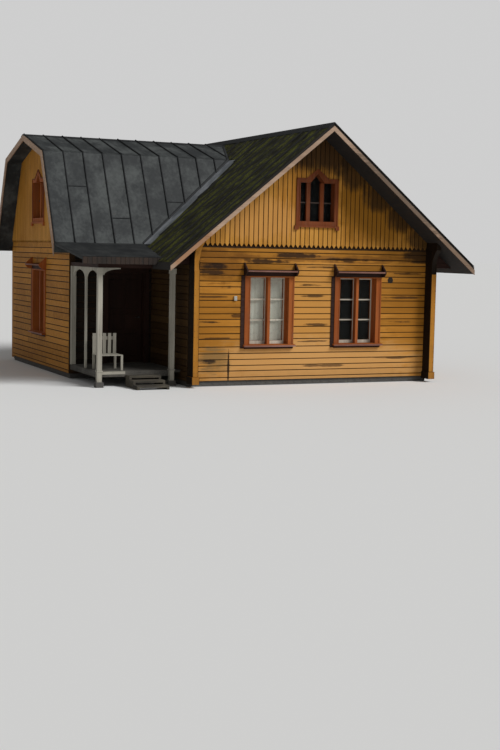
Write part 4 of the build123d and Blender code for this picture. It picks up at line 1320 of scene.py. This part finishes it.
@dataclass
class WindowDetail(Part):
    """Bars, outer mouldings and worn ledges of the casement and attic windows."""

    glass_depth: float = 0.1395
    face_depth: float = 0.120
    bar: float = 0.030
    light: Span = (0.056, 0.390)
    sash: Span = (0.955, 2.295)
    opening: Span = (0.885, 2.32)
    attic_lean: float = math.atan2(0.2, 0.261)
    casements: Spots = ((FRONT, -1.0849), (FRONT, 1.0849), (BACK, -1.0849), (BACK, 1.0849), (RIGHT, -1.7875),
                        (RIGHT, 1.7875), (END, 0.0))
    attics: Spots = ((FRONT, 0.0), (BACK, 0.0), (END, 0.0))

    def bars(self) -> list[Placement]:
        """Works out the pale stiles and rails over each sash, and two level bars in it.

        Returns:
            One placement for each.
        """
        centre, width = sum(self.light) / 2, self.light[1] - self.light[0]
        (foot, top), (low, high) = self.opening, self.sash
        stiles = tuple(Strip(offset, -self.face_depth, (foot + top) / 2, (top - foot, 0.005, wide), True)
                       for offset, wide in ((0.404, 0.028), (0.045, 0.022)))
        rails = tuple(Strip(centre, -self.face_depth, level, (width, 0.0045, tall))
                      for level, tall in (((foot + low) / 2, low - foot - 0.002),
                                          ((top + high) / 2, top - high - 0.001)))
        level = tuple(Strip(centre, -self.glass_depth, low + index * (high - low) / 3, (width, 0.020, self.bar))
                      for index in (1, 2))
        return strips(self.casements, stiles + rails + level)

    def attic_bars(self) -> list[Placement]:
        """A faint bar across the lights of each attic window."""
        return strips(self.attics, (), tuple(Strip(offset, -0.1195, 3.95, (width, 0.03, 0.026)) for offset, width
                                             in ((-0.3135, 0.203), (0.0, 0.24), (0.3135, 0.203))))

    def mullions(self) -> list[Placement]:
        """A strip over the post between each pair of sashes."""
        foot, top = self.opening
        return strips(self.casements, (), (Strip(0.0, -0.010, (foot + top) / 2, (top - foot, 0.006, 0.064), True),))

    def mouldings(self) -> list[Placement]:
        """Works out a raised strip round each casing's outer and inner edge.

        Returns:
            One placement for each part of a strip.
        """
        return strips(self.casements, (Strip(0.572, 0.028, 1.6175, (1.46, 0.011, 0.026), True),
                                       Strip(0.468, 0.028, 1.6025, (1.43, 0.008, 0.018), True)),
                      (Strip(0.0, 0.028, 2.335, (1.118, 0.010, 0.024)),))

    def attic_mouldings(self) -> list[Placement]:
        """Works out a raised strip round each attic window's pointed casing.

        Returns:
            One placement for each part of a strip.
        """
        return strips(self.attics, (Strip(0.497, 0.050, 3.96, (1.02, 0.010, 0.024), True),
                                    Strip(0.426, 0.050, 3.96, (0.82, 0.008, 0.018), True),
                                    Strip(0.1305, 0.050, 4.562, (0.32, 0.010, 0.024), lean=self.attic_lean),
                                    Strip(0.3855, 0.050, 4.457, (0.249, 0.010, 0.024))))

    def ledges(self) -> list[Placement]:
        """The worn front edges of the hoods and sills."""
        return strips(self.casements, (), (Strip(0.0, 0.1895, 2.455, (1.168, 0.004, 0.033)),
                                           Strip(0.0, 0.1095, 0.850, (1.226, 0.004, 0.033))))

    def shaded_strips(self) -> list[Placement]:
        """Works out the dark boards below the sills and under the hoods, darkened as painted shade, and a dark strip
        beside each casing that is a painted shadow.

        Returns:
            One placement for each board.
        """
        return strips(self.casements, (), (Strip(0.0, 0.028, 0.8225, (1.168, 0.006, 0.052)),
                                           Strip(0.0, 0.028, 2.394, (1.166, 0.004, 0.084)),
                                           Strip(-0.630, 0.0155, 1.575, (1.55, 0.012, 0.084), True)))

    def build(self) -> None:
        """Makes the bars, mouldings and ledges."""
        p = self.palette
        pieces = (("window_bars", self.bars(), p.bars, Grain.Z),
                  ("attic_bars", self.attic_bars(), p.attic_bars, Grain.X),
                  ("window_mullions", self.mullions(), p.trim, Grain.Z),
                  ("window_mouldings", self.mouldings(), p.trim, Grain.Z),
                  ("attic_mouldings", self.attic_mouldings(), p.red, Grain.Z),
                  ("window_ledges", self.ledges(), p.ledge, Grain.X), ("window_aprons", self.shaded_strips(), p.dark, Grain.X))
        for seed, (name, places, finish, grain) in enumerate(pieces, 31):
            self.piece(name, Unit.BLOCK, places, finish.material(grain), "red_brown_trim", seed, tone=0.7)


@dataclass
class Curtains(Part):
    """A pair of thin curtains inside the front's left window, hung in even waves."""

    depth: float = 0.185
    swing: float = 0.009
    columns: int = 96
    rows: int = 28
    levels: Span = (0.893, 2.318)
    halves: tuple[tuple[str, Span], ...] = (("curtain_left", (-1.5319, -1.0889)),
                                            ("curtain_right", (-1.0809, -0.6379)))

    def offset(self, share: float, drop: float, seed: int) -> float:
        """How far the cloth stands from its middle plane.

        Args:
            share: Its place across.
            drop: Its place down.
            seed: Sets the waves.

        Returns:
            The distance, in metres.
        """
        slow = 0.5 * math.sin(2.1 * drop + seed)
        wave = math.sin(math.tau * (3.0 * share) + slow) * 0.72 + math.sin(math.tau * 5.0 * share + 2.0 * seed) * 0.22
        return self.swing * wave * (0.72 + 0.28 * drop)

    def cloth(self, name: str, span: Span, seed: int) -> tuple[bpy.types.Object, float]:
        """Makes one curtain.

        Args:
            name: The piece's name.
            span: Its left and right edge.
            seed: Sets its waves.

        Returns:
            The curtain and its width when laid flat.
        """
        made = bmesh.new()
        grid, flat = [], 0.0
        for row in range(self.rows + 1):
            drop = row / self.rows
            level = self.levels[1] - drop * (self.levels[1] - self.levels[0])
            shares = [column / self.columns for column in range(self.columns + 1)]
            grid.append([made.verts.new(at(span[0] + share * (span[1] - span[0]),
                                           self.depth + self.offset(share, drop, seed), level)) for share in shares])
            flat += sum((b.co - a.co).length for a, b in zip(grid[-1], grid[-1][1:])) / (self.rows + 1)
        for above, below in zip(grid, grid[1:]):
            for a, b, c, d in zip(above, above[1:], below[1:], below):
                made.faces.new((a, d, c, b))
        mesh = bpy.data.meshes.new(name)
        made.to_mesh(mesh)
        made.free()
        mesh.shade_smooth()
        mesh.materials.append(self.palette.cloth.material(Grain.Z))
        return add(name, mesh), flat

    def build(self) -> None:
        """Hangs both curtains in place of their plain solids."""
        for seed, (name, span) in enumerate(self.halves, 1):
            curtain, flat = self.cloth(name, span, seed)
            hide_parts("window_curtains")
            finish_piece(curtain, "curtain_cloth")


def climb(side: int, degrees: float, along_x: bool) -> Vector:
    """The way up a roof's side, which faces along x or y."""
    flat, up = side * math.cos(math.radians(degrees)), math.sin(math.radians(degrees))
    return Vector((flat, 0.0, up) if along_x else (0.0, flat, up))


def on_gable(side: int, reach: float, y: float) -> Vector:
    """A point on the gabled roof's slab, by its distance from the ridge."""
    return at(side * reach, y, RIDGE - GABLE_STEEP * reach)


@dataclass
class RoofSheets(Part):
    """Ribbed mossy sheet on the gabled roof, seamed tin on the side room's and flat tin on the porch's."""

    sheeting: Sheeting = field(default_factory=Sheeting)
    mossy: Sheet = Sheet(0.50, 0.010, 0.16, 0.002, 0.004, 0.005)
    steel: Sheet = Sheet()
    low: Sheet = Sheet(buckle=0.004, lift=0.007)
    gable_pitch: float = 39.3
    gable_reach: float = 3.65
    sheet_reach: float = 3.638
    sheet_along: float = 8.60
    eave_reach: float = 3.60
    ridge_cap: float = 0.12
    under_tin: float = 0.72
    shortest_batten: float = 0.35
    batten_count: int = 20
    first_batten: float = -0.400
    batten_spacing: float = 0.425
    seam_spacing: float = 0.455
    flashing: float = 0.46

    @property
    def gable_length(self) -> float:
        """A gabled slope's length from eave to ridge."""
        return self.gable_reach / math.cos(math.radians(self.gable_pitch))

    def valley_x(self, reach: float) -> float:
        """Finds where the tin roof meets the left slope.

        Args:
            reach: The distance from the tin roof's ridge.

        Returns:
            The valley's place across the front.
        """
        (x, far, _), (end, near, _) = VALLEY[:2] if reach > BREAK_REACH else VALLEY[1:]
        return end + (reach - near) / (far - near) * (x - end)

    def gabled(self) -> None:
        """Covers both gabled slopes, less what the tin roof hides."""
        battens = []
        for side, name in ((-1, "mossy_sheet_left"), (1, "mossy_sheet_right")):
            slope = Slope(on_gable(side, self.sheet_reach, (DEPTH - self.sheet_along) / 2), AXIS_Y,
                          climb(-side, self.gable_pitch, True), self.sheet_along, self.gable_length - 0.14)
            made = self.sheeting.lay(name, slope, self.mossy, self.palette.moss.material(Grain.X), 5 + side)
            if side < 0:
                self.trim(made)
            self.thicken(made, self.mossy.thick)
            finish_piece(made, "mossy_roof")
            battens += self.battens(side, slope)
        self.piece("roof_battens", Unit.SEAM, battens, self.palette.batten.material(Grain.X), "mossy_roof", 42,
                   shift=0.004, tilt=0.003)

    def thicken(self, made: bpy.types.Object, depth: float) -> None:
        """Gives a sheet a thickness below its face, so that it is closed.

        Args:
            made: The piece.
            depth: The thickness.
        """
        modifier = made.modifiers.new("Thickness", "SOLIDIFY")
        modifier.thickness = depth
        modifier.offset = -1.0
        settle(made)

    def battens(self, side: int, slope: Slope) -> list[Placement]:
        """Works out the near-black battens over the sheets' joints, painted shade, from the eave or the valley to the
        ridge.

        Args:
            side: Minus one for the left slope and one for the right.
            slope: The slope.

        Returns:
            One placement for each strip.
        """
        found = []
        for index in range(self.batten_count):
            y = self.first_batten + index * self.batten_spacing
            foot = self.valley_foot(y) if side < 0 else self.eave_reach
            if foot >= self.shortest_batten:
                centre = on_gable(side, (foot + self.ridge_cap) / 2, y) + slope.out * 0.008
                found.append(Placement(centre, ((foot - self.ridge_cap) / abs(slope.up.x), 0.014, 0.105),
                                       aim(slope.up, slope.out)))
        return found

    def valley_foot(self, y: float) -> float:
        """Finds how far out from the ridge the mossy sheet reaches on the left.

        Args:
            y: The place along the roof.

        Returns:
            The distance.
        """
        reach = abs(y - TIN_MIDDLE)
        if reach - self.flashing >= TIN_REACH:
            return self.eave_reach
        if reach - self.flashing > BREAK_REACH:
            return -self.valley_x(reach - self.flashing) - 0.03
        return min(self.under_tin, -self.valley_x(reach) - 0.03) if reach < BREAK_REACH else self.under_tin

    def trim(self, made: bpy.types.Object) -> None:
        """Cuts the left sheet along the valley, a flashing's width away from it, and drops what is under the tin.

        Args:
            made: The sheet.
        """
        shape = bmesh.new()
        shape.from_mesh(made.data)
        for face in (-1, 1):
            for shift, rows in ((self.flashing, VALLEY[:2]), (0.0, VALLEY[1:])):
                first, second = (at(x, TIN_MIDDLE + face * (reach + shift), 0.0) for x, reach, _ in rows)
                bisect(shape, first, (second - first).cross(AXIS_Z).normalized())
        bisect(shape, at(VALLEY[1][0], 0.0, 0.0), AXIS_X)
        gone = [face for face in shape.faces if self.hidden(face.calc_center_median() - ORIGIN)]
        bmesh.ops.delete(shape, geom=gone, context="FACES")
        shape.to_mesh(made.data)
        shape.free()

    def hidden(self, place: Vector) -> bool:
        """Finds whether a point of the gabled roof lies under the tin roof or on the valley's flashing.

        Args:
            place: The point.

        Returns:
            Whether it does.
        """
        reach = abs(place.y - TIN_MIDDLE)
        if place.x < VALLEY[1][0]:
            reach -= self.flashing
            return reach < TIN_REACH and (reach < BREAK_REACH or place.x < self.valley_x(reach))
        return reach < BREAK_REACH and place.x < self.valley_x(reach)

    def cut_sheet(self, name: str, slope: Slope, sheet: Sheet, finish: Finish, seed: int,
                  cut: tuple[Vector, Vector]) -> None:
        """Makes a tin sheet that is cut along a plane.

        Args:
            name: The piece's name.
            slope: What it covers.
            sheet: How it is made.
            finish: Its finish.
            seed: Fixes its waves.
            cut: A point on the plane, and the way to the side that goes.
        """
        made = self.sheeting.lay(name, slope, sheet, finish.material(Grain.Y), seed)
        shape = bmesh.new()
        shape.from_mesh(made.data)
        bisect(shape, *cut, drop=True)
        shape.to_mesh(made.data)
        shape.free()
        self.thicken(made, sheet.thick)
        finish_piece(made, "tin_sheet")

    def tin(self) -> None:
        """Covers the tin roof's four sides and lays its seams."""
        seams = []
        for face, name in ((1, "front"), (-1, "back")):
            low = [at(x, TIN_MIDDLE - face * reach, level) for x, reach, level in VALLEY]
            sizes = ((low[0], 64.0, 4.50, 2.2293), (low[1], 16.0, 5.07, 1.6881))
            steep, flat = (Slope(Vector((ORIGIN.x + TIN_LEFT, end.y, end.z)), AXIS_X, climb(face, pitch, False),
                                 width, length) for end, pitch, width, length in sizes)
            for part, slope, ends in (("steep", steep, low[:2]), ("top", flat, low[1:])):
                away = (ends[1] - ends[0]).normalized().cross(slope.out).normalized()
                self.cut_sheet(f"tin_{part}_{name}", slope, self.steel, self.palette.tin, 7,
                               (ends[0], away if away.x > 0 else -away))
                seams += self.seams(slope, ends)
            for x, up in ((-2.2775, 1.074), (-3.6425, 0.62), (-4.5525, 1.38)):
                seams.append(Placement(steep.point(x - TIN_LEFT, up, 0.006), (0.43, 0.014, 0.026),
                                       aim(AXIS_X, steep.out)))
            for first, second in zip(low, low[1:]):
                seams.append(Placement((first + second) / 2 + Vector((-0.012, 0.0, 0.004)),
                                       ((second - first).length, 0.018, 0.090), aim(second - first, steep.out)))
        self.piece("tin_seams", Unit.SEAM, seams, self.palette.seam.material(Grain.Y), "tin_sheet", 41,
                   shift=0.003, tilt=0.004)

    def seams(self, slope: Slope, valley: list[Vector]) -> list[Placement]:
        """Works out the standing seams of one side.

        Args:
            slope: The side.
            valley: Two points on its lower right edge.

        Returns:
            One placement for each seam.
        """
        found = []
        for index in range(int(slope.width / self.seam_spacing) + 1):
            x = 0.015 + index * self.seam_spacing
            share = (slope.corner.x + x - valley[0].x) / (valley[1].x - valley[0].x)
            start = max(0.0, share) * slope.length
            if slope.length - start >= 0.1:
                found.append(Placement(slope.point(x, (start + slope.length) / 2, 0.006),
                                       (slope.length - start, 0.030, 0.034), aim(slope.up, slope.out)))
        return found

    def edges(self) -> None:
        """Lays bent sheet over the roofs' free edges, and the porch roof's sheet."""
        places = []
        for y in (-0.730, 7.880):
            for side in (-1, 1):
                up = climb(-side, self.gable_pitch, True)
                out = Vector((side * up.z, 0.0, abs(up.x)))
                places.append(Placement(on_gable(side, 1.82, y) + out * 0.002,
                                        (self.gable_length - 0.05, 0.012, 0.050), aim(up, out)))
        self.piece("roof_edge_strips", Unit.BOARD, places, self.palette.edge.material(Grain.X), "mossy_roof", 43)
        porch = Slope(at(TIN_LEFT, 0.04, 2.70), AXIS_X, Vector((0.0, 2.06, 0.28)).normalized(), 2.05, 2.078)
        up = climb(1, self.gable_pitch, True)
        self.cut_sheet("porch_tin", porch, self.low, self.palette.low_tin, 9,
                       (on_gable(-1, 3.2, 0.0), Vector((up.z, 0.0, -up.x))))

    def build(self) -> None:
        """Makes every roof sheet."""
        self.gabled()
        self.tin()
        self.edges()


@dataclass
class CornerTrim(Part):
    """Boards and nails on the boxes over the log ends."""

    boxes: Spots = ((FRONT, -2.8825), (FRONT, 2.8825), (BACK, -2.8825))
    board: Strip = Strip(0.0, 0.280, 1.335, (2.20, 0.007, 0.108), True, 0.2)
    foot: Strip = Strip(0.0, 0.302, 0.150, (0.15, 0.007, 0.150), True, -0.3)

    def sides(self) -> list[Placement]:
        """Works out a near-black board and foot board on each side of each box, dark paint with painted shade.

        Returns:
            One placement for each.
        """
        found = []
        for wall, along in self.boxes:
            for side in (-1, 1):
                face = aim(AXIS_Z, wall.swing @ (AXIS_X * side))
                for offset, out, level, size in ((0.0575, 0.147, 1.5925, (2.715, 0.007, 0.268)),
                                                 (0.0795, 0.151, 0.150, (0.158, 0.007, 0.300))):
                    found.append(Placement(wall.point(along + side * offset, out, level), size, face, -0.1))
        return found

    def nails(self) -> list[Placement]:
        """Two rows of nail heads up the front of each box."""
        return [wall.put(along + side * 0.035, 0.287, 0.32 + index * 0.1246, (0.011, 0.0025, 0.011))
                for wall, along in self.boxes for index in range(17) for side in (-1, 1)]

    def build(self) -> None:
        """Makes the boards and nails."""
        p = self.palette
        self.piece("corner_boards", Unit.BLOCK, strips(self.boxes, (), (self.board, self.foot)),
                   p.ochre.material(Grain.Z), "ochre_boards", 51)
        self.piece("corner_side_boards", Unit.BLOCK, self.sides(), p.side.material(Grain.Z), "ochre_boards", 53)
        self.piece("corner_nails", Unit.NAIL, self.nails(), p.iron.material(Grain.X), "handle_iron", 52, shift=0.004)


@dataclass
class PorchDetail(Part):
    """Deck and step boards, ceiling boards, post mouldings and fascia boards of the porch."""

    deck_count: int = 17
    deck_depth: float = 1.85
    flat: Colour = aim(AXIS_X, AXIS_Z)

    def deck(self) -> list[Placement]:
        """Works out the boards along the porch floor, with a small gap between them.

        Returns:
            One placement for each board.
        """
        step = self.deck_depth / self.deck_count
        return [Placement(at(-3.885, 0.40 + (index + 0.5) * step, 0.320), (1.888, 0.004, step - 0.006), self.flat)
                for index in range(self.deck_count)]

    def steps(self) -> list[Placement]:
        """Two boards on each tread."""
        return [Placement(at(-3.83, -0.35 + 0.25 * index + share, 0.08 * (index + 1)), (0.70, 0.006, 0.121), self.flat)
                for index in range(3) for share in (0.0625, 0.1875)]

    def ceiling(self) -> list[Placement]:
        """Works out the boards under the porch roof, from the fascia to the entrance wall.

        Returns:
            One placement for each board.
        """
        turn = aim(AXIS_X, Vector((0.0, 0.1347, -0.9909)))
        rows = [0.10 + index * 0.1235 for index in range(16)]
        return [Placement(at(-4.10, y, 2.64 + (y - 0.04) * 0.1359), (2.20 if y < 2.0 else 1.6, 0.010, 0.118), turn)
                for y in rows]

    def trims(self) -> list[Placement]:
        """Works out the mouldings round the posts' capitals and feet.

        Returns:
            One placement for each.
        """
        found = []
        for middle in (-4.78, -3.18):
            for level, width in ((2.378, 0.128), (2.462, 0.138), (0.34, 0.128)):
                found.append(Placement(at(middle, 0.300, level), (width, 0.014, 0.022), FRONT.turn()))
                found += [Placement(at(middle + side * 0.05, 0.350, level), (0.10, 0.014, 0.022),
                                    aim(AXIS_Y, AXIS_X * side)) for side in (-1, 1)]
        return found

    def nosing(self) -> list[Placement]:
        """A pale strip on the floor's edge, left of the steps."""
        return [Placement(at(-4.505, 0.398, 0.290), (0.63, 0.006, 0.062), FRONT.turn())]

    def fascia(self) -> list[Placement]:
        """Upright boards in front of the porch roof's edge."""
        return [Placement(at(TIN_LEFT + (index + 0.5) * 0.1, 0.018, 2.6285), (0.142, 0.009, 0.097), FRONT.turn(True))
                for index in range(20)]

    def build(self) -> None:
        """Makes the porch's boards."""
        p = self.palette
        pieces = (("porch_deck_boards", Unit.BOARD, self.deck(), p.deck, Grain.X, "porch_paint"),
                  ("porch_nosing", Unit.BLOCK, self.nosing(), p.porch, Grain.X, "porch_paint"),
                  ("step_boards", Unit.BOARD, self.steps(), p.bare, Grain.X, "bare_wood"),
                  ("porch_ceiling", Unit.BOARD, self.ceiling(), p.soffit, Grain.X, "dark_trim"),
                  ("porch_fascia", Unit.BOARD, self.fascia(), p.fascia, Grain.Z, "dark_trim"),
                  ("post_mouldings", Unit.BOARD, self.trims(), p.porch, Grain.X, "porch_paint"))
        for seed, (name, kind, places, finish, grain, slot) in enumerate(pieces, 61):
            self.piece(name, kind, places, finish.material(grain), slot, seed, tone=0.8)


@dataclass
class Plinth(Part):
    """Rounded field stones along the foundation's outer faces."""

    setback: float = 0.055
    walls: tuple[tuple[Wall, float, float], ...] = ((FRONT, -2.9, 2.9), (RIGHT, -3.5, 3.5), (BACK, -2.9, 4.8),
                                                    (END, -2.4, 2.4), (WING, -1.1, 1.1), (ENTRANCE, -4.8, -3.0))

    def build(self) -> None:
        """Lays the stones in a ragged row."""
        chance = random.Random(71)
        places = []
        for wall, along, high in self.walls:
            while along < high:
                width, tall = chance.uniform(0.12, 0.30), chance.uniform(0.07, 0.10)
                places.append(wall.put(along + width / 2, -self.setback, 0.055, (width * 0.98, 0.075, tall),
                                       tone=chance.uniform(-1, 1)))
                along += width
        made = self.layer.lay("plinth_stones", Unit.STONE, places, self.palette.stone.material(Grain.X), 71)
        made.data.shade_smooth()
        finish_piece(made, "plinth_stone")


@dataclass
class DoorDetail(Part):
    """Raised panels and boards on the entrance door's two faces."""

    middle: float = -3.55
    outer_face: float = 2.405
    inner_face: float = 2.450

    def build(self) -> None:
        """Makes the panels, which turn with the door."""
        places = [Placement(at(self.middle + side * 0.185, self.outer_face, level), (0.29, 0.009, high), FRONT.turn())
                  for level, high in ((0.72, 0.50), (1.24, 0.34), (1.86, 0.66)) for side in (-1, 1)]
        places += [Placement(at(self.middle + side * 0.19, self.inner_face, 1.335), (0.30, 0.007, 1.00), BACK.turn())
                   for side in (-1, 1)]
        self.piece("door_panels", Unit.BOARD, places, self.palette.door.material(Grain.Z), "door_paint", 81, DOOR)


@dataclass
class SmallPieces(Part):
    """Louvres on the round vent, and the lid of the small box."""

    vent: Span = (1.9069, 2.287)
    vent_radius: float = 0.062
    louvre_step: float = 0.0165
    box: float = -1.8909

    def build(self) -> None:
        """Makes the vent's louvres and the box's lid."""
        rises = [(index - 3) * self.louvre_step for index in range(7)]
        louvres = [FRONT.put(self.vent[0], 0.015, self.vent[1] + rise,
                             (2 * math.sqrt(self.vent_radius ** 2 - rise ** 2), 0.006, 0.009)) for rise in rises]
        self.piece("vent_louvres", Unit.BOARD, louvres, self.palette.vent.material(Grain.X), "vent_metal", 91)
        lid = [FRONT.put(self.box, 0.045, 1.870, (0.064, 0.006, 0.094)),
               FRONT.put(self.box, 0.051, 1.860, (0.030, 0.003, 0.040))]
        self.piece("box_lid", Unit.BOARD, lid, self.palette.box.material(Grain.X), "box_metal", 92)


@dataclass
class Carried:
    """The solid pieces that stay as they are and only get a finish."""

    palette: Palette

    def finishes(self) -> dict[str, tuple[Finish, Grain]]:
        """Lists the finish and grain of each carried piece.

        Returns:
            Both, by the piece's name.
        """
        p = self.palette
        groups = (
            (p.stone, Grain.X, "foundation"),
            (p.boards, Grain.Y, "floor_front_room floor_back_room"),
            (p.logs, Grain.X, "front_wall back_wall entrance_wall_left entrance_wall_right entrance_wall_over"),
            (p.logs, Grain.Y, "right_wall wing_left_wall end_wall"),
            (p.logs, Grain.Z, "front_gable back_gable end_gable"),
            (p.ochre, Grain.Z, "corner_box_front_left corner_boxes_back"),
            # The right front box is near-black where its sides and corbel are in shade: painted shade.
            (p.side, Grain.Z, "corner_box_front_right"),
            (p.bare, Grain.Y, "room_beam"),
            (p.bare, Grain.X, "entrance_sill porch_steps"),
            (p.trim, Grain.Z, "window_front_left window_front_right windows_right windows_back windows_end"),
            (p.red, Grain.Z, "attic_window_front"),
            (p.door, Grain.Z, "door_frame entrance_door"),
            (p.dark, Grain.X, "window_hoods_front boxed_eaves porch_beam"),
            (p.glass, Grain.X, "window_glass"),
            (p.cloth, Grain.Z, "window_curtains"),
            # The gabled roof's slabs show only from below: painted shade.
            (p.soffit, Grain.Y, "gabled_roof_left gabled_roof_right"),
            (p.tin, Grain.Y, "tin_roof_front tin_roof_back tin_roof_top"),
            (p.low_tin, Grain.Y, "porch_roof"),
            (p.seam, Grain.Y, "ridge_caps"),
            (p.flashing, Grain.X, "valley_flashings"),
            (p.barge, Grain.X, "bargeboards_front bargeboards_back bargeboards_end"),
            (p.deck, Grain.Y, "porch_floor"),
            (p.porch, Grain.Z, "porch_post_left porch_post_right porch_side_arches porch_chair"),
            (p.iron, Grain.X, "door_handles"),
            (p.vent, Grain.X, "wall_vent"),
            (p.box, Grain.X, "wall_box"))
        return {name: (finish, grain) for finish, grain, names in groups for name in names.split()}

    def build(self) -> None:
        """Puts each finish on its pieces."""
        finishes = self.finishes()
        for name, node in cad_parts.items():
            finish, grain = finishes[name]
            node.data.materials.clear()
            node.data.materials.append(finish.material(grain))
        log.info("carried pieces: %d", len(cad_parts))


@dataclass
class Studio:
    """The pale floor and background, soft lamps and the camera, at the photo's viewing angle."""

    eye: Vector = field(default_factory=lambda: Vector((-12.277, -28.876, 2.889)))
    yaw: float = 24.61
    pitch: float = 5.47
    roll: float = 1.2
    lens: float = 62.4
    reach: float = 400.0
    far: float = 900.0
    lamps: tuple[tuple[str, Colour, float, float], ...] = (("key", (0.52, -0.55, 0.66), 24.0, 2.45),
                                                           ("fill", (-0.35, -0.85, 0.35), 90.0, 0.18))

    def camera(self) -> None:
        """Sets the camera at the photo's viewing angle."""
        yaw, pitch, roll = (math.radians(angle) for angle in (self.yaw, self.pitch, self.roll))
        ahead = Vector((math.sin(yaw) * math.cos(pitch), math.cos(yaw) * math.cos(pitch), -math.sin(pitch)))
        level = Vector((math.cos(yaw), -math.sin(yaw), 0.0))
        upward = level.cross(ahead)
        right = math.cos(roll) * level + math.sin(roll) * upward
        top = -math.sin(roll) * level + math.cos(roll) * upward
        data = bpy.data.cameras.new("camera")
        data.lens = self.lens
        data.sensor_width = 36.0
        data.clip_end = self.far
        made = add("camera", data)
        made.matrix_world = Matrix.Translation(self.eye) @ Matrix((right, top, -ahead)).transposed().to_4x4()
        bpy.context.scene.camera = made

    def floor(self) -> None:
        """Lays a wide pale floor that isn't part of the cabin."""
        mesh = bpy.data.meshes.new("studio_floor")
        corners = ((-1, -1), (1, -1), (1, 1), (-1, 1))
        mesh.from_pydata([(x * self.reach, y * self.reach, 0) for x, y in corners], [], [(0, 1, 2, 3)])
        finish = bpy.data.materials.new("studio_floor")
        finish.use_nodes = True
        finish.node_tree.nodes.clear()
        Surface(Graph(finish.node_tree), None, Grain.X).close((0.84, 0.84, 0.83), 1.0, Specular_IOR_Level=0.0)
        mesh.materials.append(finish)
        made = add("studio_floor", mesh)
        made.location.z = -0.002

    def lights(self) -> None:
        """Hangs a high soft lamp at the right front and a weak one at the left front."""
        for name, way, angle, power in self.lamps:
            data = bpy.data.lights.new(name, "SUN")
            data.angle = math.radians(angle)
            data.energy = power
            add(name, data).matrix_world = Vector(way).to_track_quat("Z", "Y").to_matrix().to_4x4()

    def sky(self) -> None:
        """Makes an even world that lights softly and looks pale behind the cabin."""
        world = bpy.data.worlds.new("studio_sky")
        bpy.context.scene.world = world
        world.use_nodes = True
        world.node_tree.nodes.clear()
        graph = Graph(world.node_tree)
        shown = graph.node("ShaderNodeLightPath", output="Is Camera Ray")
        light, pale = (graph.node("ShaderNodeBackground", None, {"Color": (grey, grey, grey), "Strength": strength})
                       for grey, strength in ((0.88, 0.23), (0.62, 1.0)))
        both = graph.node("ShaderNodeMixShader", None, {0: shown, 1: light, 2: pale})
        graph.node("ShaderNodeOutputWorld", None, {"Surface": both})

    def build(self) -> None:
        """Makes the whole studio."""
        for step in (self.camera, self.floor, self.lights, self.sky):
            step()
        bpy.context.scene.view_settings.view_transform = "Standard"


def main() -> None:
    """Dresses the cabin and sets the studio."""
    logging.basicConfig(level=logging.INFO, format="%(message)s")
    palette = Palette()
    layer = Layer()
    Studio().build()
    Carried(palette).build()
    for kind in (WallBoards, GableBoards, WindowDetail, Curtains, RoofSheets, CornerTrim, PorchDetail, Plinth,
                 DoorDetail, SmallPieces):
        log.info("building %s", kind.__name__)
        kind(layer, palette).build()
    for unit in layer.units.values():
        bpy.data.objects.remove(unit)


if __name__ == "__main__":
    main()
